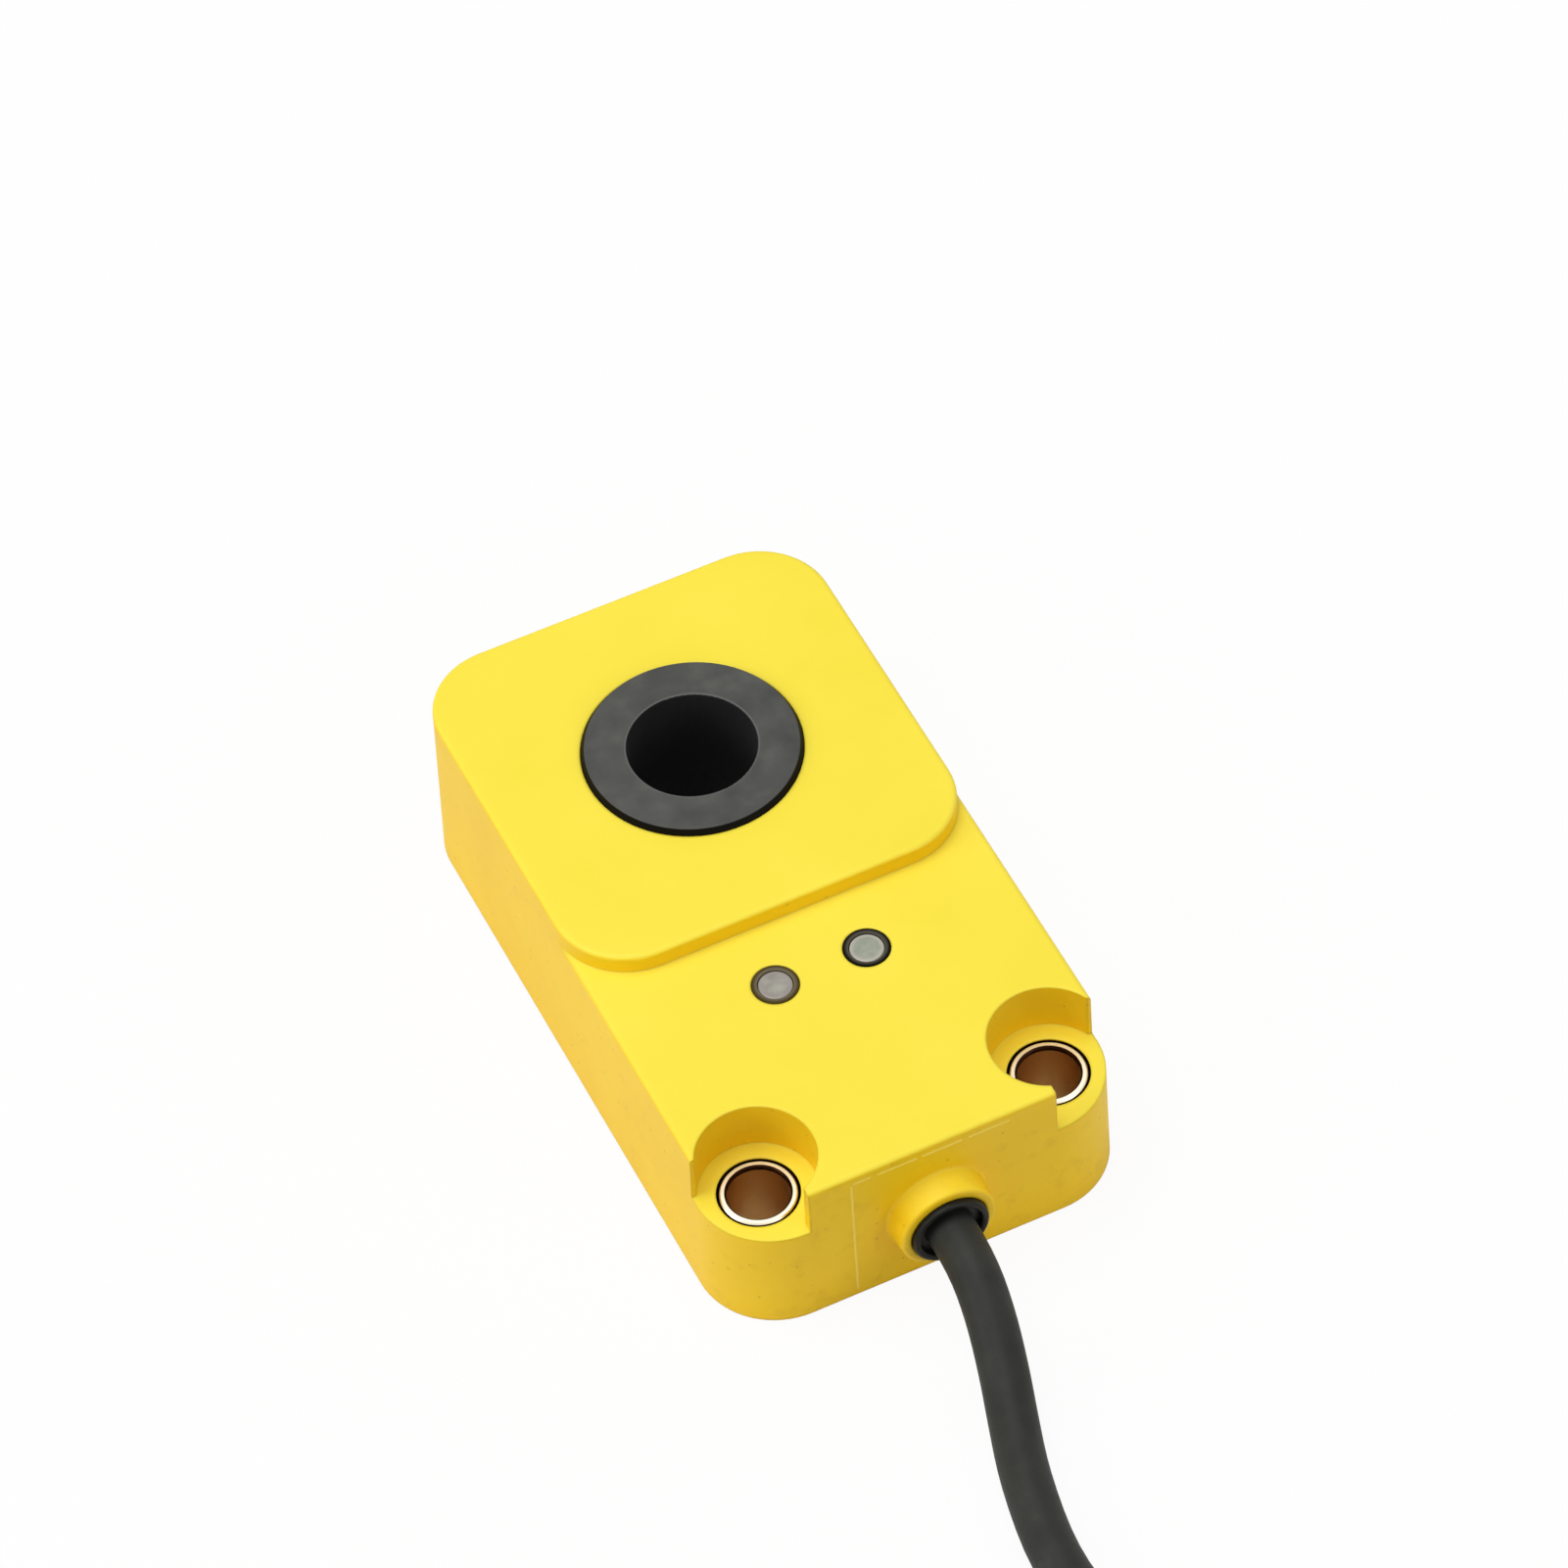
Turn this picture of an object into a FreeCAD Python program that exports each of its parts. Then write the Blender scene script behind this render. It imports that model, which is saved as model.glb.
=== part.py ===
import FreeCAD, Part
import math
import os
import re
import Sketcher
from FreeCAD import Placement, Rotation, Vector

# A rectangular inductive proximity switch with a sensing ring, in millimetres.
# The origin is on the ring's axis, at the base. +Y points to the ring's end,
# the cable leaves towards -Y, and +Z points out of the sensing ring.

SIZES = (
    # moulded housing, outside
    ("body_width", 30.0), ("body_back", 15.0), ("body_front", 37.0),
    ("plate_height", 14.0), ("step_height", 1.4), ("plate_front", 15.0),
    ("back_corner", 5.6), ("front_corner", 5.6), ("plate_corner", 5.4),
    ("draft", 1.0), ("edge_round", 0.3),
    # moulded housing, inside
    ("wall", 1.5), ("deck_wall", 1.5), ("plate_wall", 1.5), ("recess_wall", 1.5),
    ("channel_width", 10.0), ("chamber_gap", 1.0), ("post_radius", 3.5),
    # bottom cover
    ("cover_thickness", 1.2), ("cover_ledge", 0.6), ("fit_gap", 0.04),
    ("peg_radius", 1.1), ("peg_inset", 1.8),
    # corner recesses and the sleeves in them
    ("hole_side_inset", 4.25), ("hole_front_inset", 4.7), ("recess_depth", 3.95),
    ("recess_radius", 4.1), ("recess_notch", 1.65),
    ("sleeve_hole", 4.3), ("sleeve_wall", 0.5), ("sleeve_gap", 0.18), ("sleeve_chamfer", 0.12),
    # liner of the sensing ring
    ("bore", 9.0), ("liner_wall", 1.1), ("flange_radius", 7.65), ("flange_top_radius", 7.4),
    ("flange_seat", 0.4), ("flange_proud", 0.45), ("flange_round", 0.12), ("lip_round", 0.1),
    # coil assembly round the liner
    ("seat_height", 1.2), ("former_hub", 0.8), ("former_flange", 0.8), ("former_radius", 9.6),
    ("winding_radius", 9.2), ("shield_inside", 9.8), ("shield_wall", 1.4), ("coil_top_gap", 0.1),
    ("slot_width", 5.0), ("lead_thickness", 0.4), ("lead_spacing", 3.2), ("lead_on_board", 1.2),
    # circuit board
    ("board_side_gap", 0.9), ("board_end_gap", 0.2), ("board_back", 13.4), ("board_headroom", 4.1),
    ("board_thickness", 1.0), ("board_corner", 0.8),
    # status lamps
    ("lamp_spacing", 6.8), ("lamp_inset", 20.0), ("lamp_hole", 3.32),
    ("bezel_proud", 0.06), ("bezel_round", 0.06), ("window_sink", 0.02), ("window_radius", 1.2),
    ("window_round", 0.12), ("lamp_gap", 0.2), ("led_length", 1.6), ("led_width", 0.8),
    ("led_base", 0.3), ("led_lens_length", 1.1), ("led_lens", 0.4),
    # cable gland
    ("cable_drop", 1.05), ("cable_thickness", 3.4), ("boss_radius", 3.67), ("boss_length", 1.88),
    ("boss_draft", 5.0), ("boss_root_round", 0.2), ("boss_edge_round", 0.25),
    ("grommet_radius", 2.77), ("grommet_proud", 0.5), ("cup_radius", 2.25), ("cup_depth", 0.55),
    ("grommet_flange", 3.7), ("grommet_flange_length", 1.1), ("grommet_round", 0.22),
    ("sheath_inside", 5.4), ("clamp_wall", 0.6), ("clamp_length", 1.8), ("clamp_round", 0.15),
    # insulated cores in the cable
    ("core_thickness", 1.1), ("core_ring", 0.67), ("strand_thickness", 0.5),
    ("strand_length", 5.0), ("pad_spacing", 2.4), ("core_on_board", 2.2),
    # put-away coil of the cable
    ("coil_x", -7.1), ("coil_y", -99.0), ("coil_straight", 12.0), ("coil_middle_radius", 15.3),
    ("coil_layers", 4.0), ("coil_corner", 1.6), ("tie_thickness", 0.8), ("tie_width", 3.5),
)

# Parts soldered to the board: their sizes along X, Y and Z, how far they lie from the
# board's left edge, right edge or middle, and their distance from the ring's axis.
BOARD_PARTS = (
    ("oscillator_chip", "left", 3.9, 4.9, 1.45, 4.6, 18.0),
    ("output_transistor", "right", 3.0, 3.2, 1.1, 4.4, 17.6),
    ("supply_capacitor", "left", 3.5, 2.8, 1.9, 4.2, 23.6),
    ("protection_diode", "right", 2.7, 1.6, 1.1, 4.0, 23.4),
    ("tuning_capacitor", "middle", 2.0, 1.25, 0.9, 0.0, 16.2),
    ("gain_resistor", "middle", 2.0, 1.25, 0.5, -3.6, 16.2),
    ("output_resistor", "middle", 2.0, 1.25, 0.5, 4.0, 16.2),
    ("lamp_resistor", "middle", 1.25, 2.0, 0.5, 0.0, 20.6),
)
PLACING = ("length", "width", "height", "inset", "distance")
LEGS_ON_EACH_SIDE = {"oscillator_chip": 4, "output_transistor": 2}

# The cable's route after the gland, to the coil: over the floor, ending inside the coil.
RUN_ROUTE = (
    (0.0, -42.1, 5.95), (-0.2, -45.1, 4.2), (-0.85, -48.3, 2.2), (-1.95, -51.8, 1.75),
    (-3.45, -56.6, 1.75), (-4.6, -63.2, 1.75), (-4.0, -68.7, 1.75), (-1.7, -73.65, 1.75),
    (2.1, -77.6, 1.75), (6.8, -82.2, 1.75), (9.9, -88.3, 1.75), (10.8, -95.2, 1.75),
)

# The cable's end: the last turn of the coil's top layer, on the turns below it.
TAIL_ROUTE = ((-27.5, -104.0, 11.95), (-27.6, -97.8, 11.95), (-26.9, -92.8, 11.95))

# The three cores: where each lies in the cable, as an angle, its pad, and its bare end's route.
CORES = (
    ("brown", 210, -1, ((-25.95, -88.98, 11.0), (-24.19, -86.12, 10.85), (-22.49, -84.13, 10.82))),
    ("black", 90, 0, ((-25.24, -89.35, 12.0), (-23.47, -86.66, 11.75), (-20.28, -83.3, 11.6))),
    ("blue", 330, 1, ((-24.54, -89.73, 11.0), (-22.75, -87.2, 10.85), (-20.72, -84.9, 10.82))),
)

doc = FreeCAD.newDocument("ring_switch")
sheet = doc.addObject("Spreadsheet::Sheet", "Sizes")
driving = dict(SIZES)
for part_name, _, *values in BOARD_PARTS:
    driving.update((f"{part_name}_{what}", value) for what, value in zip(PLACING, values))
for row, (size_name, value) in enumerate(driving.items(), start=1):
    sheet.set(f"A{row}", size_name)
    sheet.set(f"B{row}", str(value))
    sheet.setAlias(f"B{row}", size_name)
doc.recompute()


def cells(formula):
    """A formula on the sizes, as the document's expressions write it."""
    return re.sub(r"[a-z_]+", lambda word: ("Sizes." if word[0] in driving else "") + word[0],
                  formula)


def number(formula):
    """The value that a formula on the sizes has now."""
    return float(sheet.evalExpression(cells(formula)))


def bind(target, prop, formula):
    """Tie a property to a formula on the sizes."""
    target.setExpression(prop, cells(formula))


# Sketches, each point and radius of which is tied to the sheet

def new_body(label, x="0", y="0", z="0", tilt=0):
    """An empty body at (x, y, z), turned about X by a tilt in degrees."""
    body = doc.addObject("PartDesign::Body", label)
    body.Placement = Placement(Vector(), Rotation(Vector(1, 0, 0), tilt))
    for axis, formula in zip("xyz", (x, y, z)):
        bind(body, f"Placement.Base.{axis}", formula)
    return body


def new_sketch(body, name, role="XY_Plane", lift="0"):
    """A sketch on one of the body's own planes, lifted along the plane's normal."""
    sketch = body.newObject("Sketcher::SketchObject", name)
    plane = next(item for item in body.Origin.OriginFeatures if item.Role == role)
    sketch.AttachmentSupport = (plane, [""])
    sketch.MapMode = "FlatFace"
    bind(sketch, "AttachmentOffset.Base.z", lift)
    return sketch


def hold(sketch, formula, kind, *place):
    """Add a constraint that keeps a formula's value."""
    index = sketch.addConstraint(Sketcher.Constraint(kind, *place, number(formula)))
    bind(sketch, f"Constraints[{index}]", formula)


def circle(sketch, radius, x="0", y="0"):
    """A circle of a radius about (x, y)."""
    centre = Vector(number(x), number(y), 0)
    curve = sketch.addGeometry(Part.Circle(centre, Vector(0, 0, 1), number(radius)))
    hold(sketch, x, "DistanceX", -1, 1, curve, 3)
    hold(sketch, y, "DistanceY", -1, 1, curve, 3)
    hold(sketch, radius, "Radius", curve)


def outline(sketch, corners):
    """A closed run of straight lines through (x, y) corners."""
    points = [Vector(number(x), number(y), 0) for x, y in corners]
    lines = [sketch.addGeometry(Part.LineSegment(points[i - 1], points[i]))
             for i in range(len(points))]
    for i, line in enumerate(lines):
        following = lines[(i + 1) % len(lines)]
        sketch.addConstraint(Sketcher.Constraint("Coincident", line, 2, following, 1))
        hold(sketch, corners[i][0], "DistanceX", -1, 1, line, 2)
        hold(sketch, corners[i][1], "DistanceY", -1, 1, line, 2)


def box(sketch, left, right, low, high):
    """A rectangle between four formulas."""
    outline(sketch, ((left, low), (right, low), (right, high), (left, high)))


def rounded_box(sketch, left, right, low, high, low_radius, high_radius):
    """A rectangle with one corner radius at its low side and one at its high side."""
    x, y = (number(left), number(right)), (number(low), number(high))
    corners = ((1, 0, 270), (1, 1, 0), (0, 1, 90), (0, 0, 180))
    arcs = []
    for across, along, start in corners:
        formula = (low_radius, high_radius)[along]
        radius = number(formula)
        centre = Vector(x[across] + radius * (1 - 2 * across), y[along] + radius * (1 - 2 * along))
        full = Part.Circle(centre, Vector(0, 0, 1), radius)
        arc = Part.ArcOfCircle(full, math.radians(start), math.radians(start + 90))
        arcs.append(sketch.addGeometry(arc))
        hold(sketch, formula, "Radius", arcs[-1])
    sides = (("Vertical", "DistanceX", right), ("Horizontal", "DistanceY", high),
             ("Vertical", "DistanceX", left), ("Horizontal", "DistanceY", low))
    for i, (level, kind, formula) in enumerate(sides):
        before, after = arcs[i], arcs[(i + 1) % 4]
        ends = sketch.getPoint(before, 2), sketch.getPoint(after, 1)
        line = sketch.addGeometry(Part.LineSegment(*ends))
        sketch.addConstraint(Sketcher.Constraint("Tangent", before, 2, line, 1))
        sketch.addConstraint(Sketcher.Constraint("Tangent", line, 2, after, 1))
        sketch.addConstraint(Sketcher.Constraint(level, line))
        hold(sketch, formula, kind, -1, 1, line, 1)


# Features

def raise_sketch(body, name, sketch, length, draft="0", middle=False):
    """Pad a sketch along its normal; a draft, in degrees, narrows it as it rises."""
    feature = body.newObject("PartDesign::Pad", name)
    feature.Profile = sketch
    feature.SideType = "Symmetric" if middle else "One side"
    bind(feature, "Length", length)
    bind(feature, "TaperAngle", f"-({draft})")
    return feature


def cut_sketch(body, name, sketch, length, along_normal=True, middle=False):
    """Cut a sketch's area away over a length, and make sure that material went."""
    doc.recompute()
    before = body.Shape.Volume
    feature = body.newObject("PartDesign::Pocket", name)
    feature.Profile = sketch
    feature.SideType = "Symmetric" if middle else "One side"
    feature.Reversed = along_normal
    bind(feature, "Length", length)
    doc.recompute()
    if not body.Shape.Volume < before - 1e-6:
        raise RuntimeError(f"{body.Label}: {name} removed nothing")


def turn(body, name, corners):
    """Turn a closed outline of (radius, height) corners about the body's Z axis."""
    sketch = new_sketch(body, f"{name}_profile", "XZ_Plane")
    outline(sketch, corners)
    turn_sketch(body, name, sketch)


def turn_sketch(body, name, sketch):
    """Turn a sketch a full circle about its own vertical axis."""
    feature = body.newObject("PartDesign::Revolution", name)
    feature.Profile = sketch
    feature.ReferenceAxis = (sketch, ["V_Axis"])
    feature.Angle = 360


def soften(body, name, kind, size, chosen):
    """Fillet or chamfer those edges of the body's last feature that a test picks."""
    doc.recompute()
    base = body.Tip
    picked = [f"Edge{i}" for i, edge in enumerate(base.Shape.Edges, start=1) if chosen(edge)]
    if not picked:
        raise RuntimeError(f"{body.Label}: {name} finds no edge")
    feature = body.newObject(f"PartDesign::{kind}", name)
    feature.Base = (base, picked)
    bind(feature, "Radius" if kind == "Fillet" else "Size", size)


def lies_at(edge, axis, formula):
    """Whether the whole of an edge has one value along an axis of its body."""
    low, high = getattr(edge.BoundBox, f"{axis}Min"), getattr(edge.BoundBox, f"{axis}Max")
    return abs(low - number(formula)) < 1e-4 and abs(high - number(formula)) < 1e-4


def ring_radius(edge):
    """The radius of a circular edge, or 0."""
    return edge.Curve.Radius if isinstance(edge.Curve, Part.Circle) else 0


def tube(label, points, diameter):
    """A round tube along straight runs joined by tangent arcs, as its wire is bent."""
    points = [Vector(*point) for point in points]
    edges, start, radii = [], points[0], []
    for before, corner, after in zip(points, points[1:], points[2:]):
        inward, outward = (corner - before), (after - corner)
        bend = inward.getAngle(outward)
        reach = 0.45 * min(inward.Length, outward.Length)
        radii.append(reach / math.tan(bend / 2))
        arc_start = corner - inward.normalize() * reach
        arc_end = corner + outward.normalize() * reach
        middle = corner + (outward - inward).normalize() * (
            radii[-1] * (1 / math.cos(bend / 2) - 1))
        edges.append(Part.LineSegment(start, arc_start).toShape())
        edges.append(Part.Arc(arc_start, middle, arc_end).toShape())
        start = arc_end
    edges.append(Part.LineSegment(start, points[-1]).toShape())
    path = Part.Wire(edges)
    first = points[1] - points[0]
    section = Part.Wire(Part.makeCircle(diameter / 2, points[0], first))
    shape = path.makePipeShell([section], True, False)
    area = math.pi * diameter ** 2 / 4
    print(f"{label}: length {path.Length:.1f}, volume ratio {shape.Volume / (area * path.Length):.4f},"
          f" bend radii {[round(radius, 1) for radius in radii]}")
    return shape


def finished(label, shape):
    """A sub-part whose shape is worked out in code."""
    feature = doc.addObject("Part::Feature", label)
    feature.Shape = shape
    return feature


SIDES = (("left", "-"), ("right", ""))
HALF_WIDTH = "body_width / 2"
DECK = "(plate_height - step_height)"
RECESS_FLOOR = f"({DECK} - recess_depth)"
CABLE_HEIGHT = "(plate_height / 2 - cable_drop)"
HOLE_X = "(body_width / 2 - hole_side_inset)"
HOLE_Y = "(hole_front_inset - body_front)"
CHAMBER_FRONT = f"({HOLE_Y} + recess_radius + wall)"
LINER_RADIUS = "(bore / 2 + liner_wall)"
LINER_HOLE = f"({LINER_RADIUS} + fit_gap)"
SLEEVE_RADIUS = "(sleeve_hole / 2 + sleeve_wall)"
SHIELD_RADIUS = "(shield_inside + shield_wall)"
COIL_BASE = "(cover_thickness + seat_height)"
COIL_TOP = "(plate_height - plate_wall - coil_top_gap)"
HUB_RADIUS = f"({LINER_HOLE} + former_hub)"
BOARD_HALF = "(body_width / 2 - wall - board_side_gap)"
BOARD_FRONT = f"({CHAMBER_FRONT} + board_end_gap)"
BOARD_TOP = f"({DECK} - deck_wall - board_headroom)"
BOARD_BASE = f"({BOARD_TOP} - board_thickness)"
EXIT_Y = "-(body_front + boss_length + grommet_proud)"
SHEATH_END_Y = "-(body_front - sheath_inside)"


# Housing: one moulding, with a square plate raised round the ring, a lower deck
# for the lamps, a screw recess at each front corner and a boss for the cable.

housing = new_body("housing")
sketch = new_sketch(housing, "base_outline")
rounded_box(sketch, f"-{HALF_WIDTH}", HALF_WIDTH, "-body_front", "body_back",
            "front_corner", "back_corner")
raise_sketch(housing, "deck_block", sketch, DECK, "draft")
soften(housing, "deck_edge", "Fillet", "edge_round", lambda edge: lies_at(edge, "Z", DECK))

plate_foot = f"({DECK} - deck_wall)"
narrowing = f"{plate_foot} * tan(draft)"
sketch = new_sketch(housing, "plate_outline", lift=plate_foot)
rounded_box(sketch, f"{narrowing} - {HALF_WIDTH}", f"{HALF_WIDTH} - {narrowing}",
            "-plate_front", f"body_back - {narrowing}",
            "plate_corner", f"back_corner - {narrowing}")
raise_sketch(housing, "plate_block", sketch, f"plate_height - {plate_foot}", "draft")
soften(housing, "plate_edge", "Fillet", "edge_round", lambda edge: lies_at(edge, "Z", "plate_height"))

sketch = new_sketch(housing, "boss_outline", "XZ_Plane", "body_front - wall / 2")
circle(sketch, "boss_radius", y=CABLE_HEIGHT)
raise_sketch(housing, "cable_boss", sketch, "boss_length + wall / 2", "boss_draft")
doc.recompute()
front_face = -number("body_front")
soften(housing, "boss_root", "Fillet", "boss_root_round",
       lambda edge: edge.BoundBox.YMax < front_face + number("wall") / 2
       and edge.BoundBox.YMin > front_face - 1e-3 and edge.Closed
       and abs(edge.CenterOfMass.x) < 1e-3)
soften(housing, "boss_edge", "Fillet", "boss_edge_round",
       lambda edge: lies_at(edge, "Y", "-(body_front + boss_length)"))

sketch = new_sketch(housing, "recess_rounds", lift=RECESS_FLOOR)
for side, sign in SIDES:
    circle(sketch, "recess_radius", f"{sign}{HOLE_X}", HOLE_Y)
cut_sketch(housing, "recess_cups", sketch, "plate_height")
sketch = new_sketch(housing, "recess_corners", lift=RECESS_FLOOR)
for side, sign in SIDES:
    box(sketch, f"{sign}({HOLE_X} - recess_notch)", f"{sign}body_width",
        "-body_front - wall", f"{HOLE_Y} + recess_notch")
cut_sketch(housing, "recess_openings", sketch, "plate_height")

for name, inset, depth in (("cover_seat", "(wall - cover_ledge)", "cover_thickness"),
                           ("lower_chamber", "wall", f"{RECESS_FLOOR} - recess_wall")):
    sketch = new_sketch(housing, f"{name}_outline")
    rounded_box(sketch, f"{inset} - {HALF_WIDTH}", f"{HALF_WIDTH} - {inset}",
                f"{inset} - body_front", f"body_back - {inset}",
                f"front_corner - {inset}", f"back_corner - {inset}")
    cut_sketch(housing, name, sketch, depth)
sketch = new_sketch(housing, "upper_chamber_outline")
rounded_box(sketch, f"wall - {HALF_WIDTH}", f"{HALF_WIDTH} - wall", CHAMBER_FRONT,
            "body_back - wall", "wall", "back_corner - wall")
cut_sketch(housing, "upper_chamber", sketch, plate_foot)
sketch = new_sketch(housing, "cable_channel_outline")
box(sketch, "-channel_width / 2", "channel_width / 2", "wall - body_front", f"{CHAMBER_FRONT} + wall")
cut_sketch(housing, "cable_channel", sketch, plate_foot)
sketch = new_sketch(housing, "coil_chamber_outline")
circle(sketch, f"{SHIELD_RADIUS} + chamber_gap")
cut_sketch(housing, "coil_chamber", sketch, "plate_height - plate_wall")

sketch = new_sketch(housing, "post_outlines", lift="cover_thickness")
for side, sign in SIDES:
    circle(sketch, "post_radius", f"{sign}{HOLE_X}", HOLE_Y)
raise_sketch(housing, "sleeve_posts", sketch, f"{RECESS_FLOOR} - recess_wall / 2 - cover_thickness")
sketch = new_sketch(housing, "sleeve_holes_outline")
for side, sign in SIDES:
    circle(sketch, f"{SLEEVE_RADIUS} + sleeve_gap", f"{sign}{HOLE_X}", HOLE_Y)
cut_sketch(housing, "sleeve_holes", sketch, "plate_height")
sketch = new_sketch(housing, "liner_hole_outline")
circle(sketch, LINER_HOLE)
cut_sketch(housing, "liner_hole", sketch, "plate_height + wall")
sketch = new_sketch(housing, "flange_seat_outline", lift="plate_height - flange_seat")
circle(sketch, "flange_radius + fit_gap")
cut_sketch(housing, "flange_seat", sketch, "plate_height")
sketch = new_sketch(housing, "lamp_holes_outline")
for side, sign in SIDES:
    circle(sketch, "lamp_hole / 2", f"{sign}lamp_spacing / 2", "-lamp_inset")
cut_sketch(housing, "lamp_holes", sketch, "plate_height")
sketch = new_sketch(housing, "gland_hole_outline", "XZ_Plane", "body_front + boss_length + wall")
circle(sketch, "grommet_radius + fit_gap", y=CABLE_HEIGHT)
cut_sketch(housing, "gland_hole", sketch, "boss_length + 3 * wall", along_normal=False)


# Bottom cover: a flat lid let into the housing, with a ring seat that the coil
# stands on and four pegs that carry the board.

cover = new_body("base_cover")
cover_inset = "(wall - cover_ledge + fit_gap)"
sketch = new_sketch(cover, "lid_outline")
rounded_box(sketch, f"{cover_inset} - {HALF_WIDTH}", f"{HALF_WIDTH} - {cover_inset}",
            f"{cover_inset} - body_front", f"body_back - {cover_inset}",
            f"front_corner - {cover_inset}", f"back_corner - {cover_inset}")
raise_sketch(cover, "lid", sketch, "cover_thickness")
sketch = new_sketch(cover, "coil_seat_outline", lift="cover_thickness")
circle(sketch, SHIELD_RADIUS)
raise_sketch(cover, "coil_seat", sketch, "seat_height")
sketch = new_sketch(cover, "peg_outlines", lift="cover_thickness")
for side, sign in SIDES:
    for row in ("-(board_back + peg_inset)", f"{BOARD_FRONT} + peg_inset"):
        circle(sketch, "peg_radius", f"{sign}({BOARD_HALF} - peg_inset)", row)
raise_sketch(cover, "board_pegs", sketch, f"{BOARD_BASE} - cover_thickness")
sketch = new_sketch(cover, "ring_hole_outline")
circle(sketch, LINER_HOLE)
for side, sign in SIDES:
    circle(sketch, f"{SLEEVE_RADIUS} + fit_gap", f"{sign}{HOLE_X}", HOLE_Y)
cut_sketch(cover, "through_holes", sketch, "plate_height")


# Liner: the black flanged tube that lines the sensing ring from face to face.

liner = new_body("ring_sleeve")
flange_foot = "plate_height - flange_seat"
flange_top = "plate_height + flange_proud"
turn(liner, "liner_tube", (
    ("bore / 2", "0"), (LINER_RADIUS, "0"), (LINER_RADIUS, flange_foot),
    ("flange_radius", flange_foot), ("flange_radius", "plate_height"),
    ("flange_top_radius", flange_top), ("bore / 2", flange_top)))
soften(liner, "flange_rim", "Fillet", "flange_round",
       lambda edge: lies_at(edge, "Z", flange_top)
       and abs(ring_radius(edge) - number("flange_top_radius")) < 1e-4)
soften(liner, "bore_lip", "Fillet", "lip_round",
       lambda edge: lies_at(edge, "Z", flange_top)
       and abs(ring_radius(edge) - number("bore / 2")) < 1e-4)


# Mounting sleeves: plain metal bushes that take the screws' load to the base.

for side, sign in SIDES:
    sleeve = new_body(f"mounting_sleeve_{side}", f"{sign}{HOLE_X}", HOLE_Y)
    turn(sleeve, "bush", (("sleeve_hole / 2", "0"), (SLEEVE_RADIUS, "0"),
                          (SLEEVE_RADIUS, RECESS_FLOOR), ("sleeve_hole / 2", RECESS_FLOOR)))
    soften(sleeve, "bush_rims", "Chamfer", "sleeve_chamfer",
           lambda edge: lies_at(edge, "Z", "0") or lies_at(edge, "Z", RECESS_FLOOR))


# Status lamps: a black bezel tube stands on the board round each lamp chip and
# holds a clear light pipe that ends flush with the deck.

lens_foot = f"{BOARD_TOP} + led_base + led_lens + lamp_gap"
for side, sign in SIDES:
    lamp_x = f"{sign}lamp_spacing / 2"
    bezel = new_body(f"lamp_bezel_{side}", lamp_x, "-lamp_inset")
    bezel_top = f"{DECK} + bezel_proud"
    bezel_inside, bezel_outside = "window_radius + fit_gap", "lamp_hole / 2 - fit_gap"
    turn(bezel, "bezel_tube", ((bezel_inside, BOARD_TOP), (bezel_outside, BOARD_TOP),
                               (bezel_outside, bezel_top), (bezel_inside, bezel_top)))
    soften(bezel, "bezel_rims", "Fillet", "bezel_round",
           lambda edge: lies_at(edge, "Z", bezel_top))
    window = new_body(f"lamp_window_{side}", lamp_x, "-lamp_inset")
    lens_top = f"{DECK} - window_sink"
    turn(window, "light_pipe", (("0", lens_foot), ("window_radius", lens_foot),
                                ("window_radius", lens_top), ("0", lens_top)))
    soften(window, "pipe_rim", "Fillet", "window_round",
           lambda edge: lies_at(edge, "Z", lens_top) and ring_radius(edge))
    lamp = new_body(f"lamp_chip_{side}", lamp_x, "-lamp_inset", BOARD_TOP)
    sketch = new_sketch(lamp, "base_outline")
    box(sketch, "-led_length / 2", "led_length / 2", "-led_width / 2", "led_width / 2")
    raise_sketch(lamp, "lamp_base", sketch, "led_base")
    sketch = new_sketch(lamp, "lens_outline", lift="led_base")
    box(sketch, "-led_lens_length / 2", "led_lens_length / 2", "-led_width / 2", "led_width / 2")
    raise_sketch(lamp, "lamp_lens", sketch, "led_lens")


# Coil assembly: a spool on the liner, its winding, and a slotted shield ring
# that keeps the field inside the ring. Two leads run to the board.

former = new_body("coil_former")
low_flange, high_flange = f"{COIL_BASE} + former_flange", f"{COIL_TOP} - former_flange"
turn(former, "spool", (
    (LINER_HOLE, COIL_BASE), ("former_radius", COIL_BASE), ("former_radius", low_flange),
    (HUB_RADIUS, low_flange), (HUB_RADIUS, high_flange), ("former_radius", high_flange),
    ("former_radius", COIL_TOP), (LINER_HOLE, COIL_TOP)))
winding = new_body("coil_winding")
winding_inside = f"{HUB_RADIUS} + fit_gap"
turn(winding, "turns", ((winding_inside, low_flange), ("winding_radius", low_flange),
                        ("winding_radius", high_flange), (winding_inside, high_flange)))
shield = new_body("shield_ring")
turn(shield, "shield_tube", (("shield_inside", COIL_BASE), (SHIELD_RADIUS, COIL_BASE),
                             (SHIELD_RADIUS, COIL_TOP), ("shield_inside", COIL_TOP)))
sketch = new_sketch(shield, "slot_outline", lift=BOARD_BASE)
box(sketch, "-slot_width / 2", "slot_width / 2", f"-{SHIELD_RADIUS} - wall", "-bore / 2")
cut_sketch(shield, "lead_slot", sketch, "plate_height")
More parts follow.
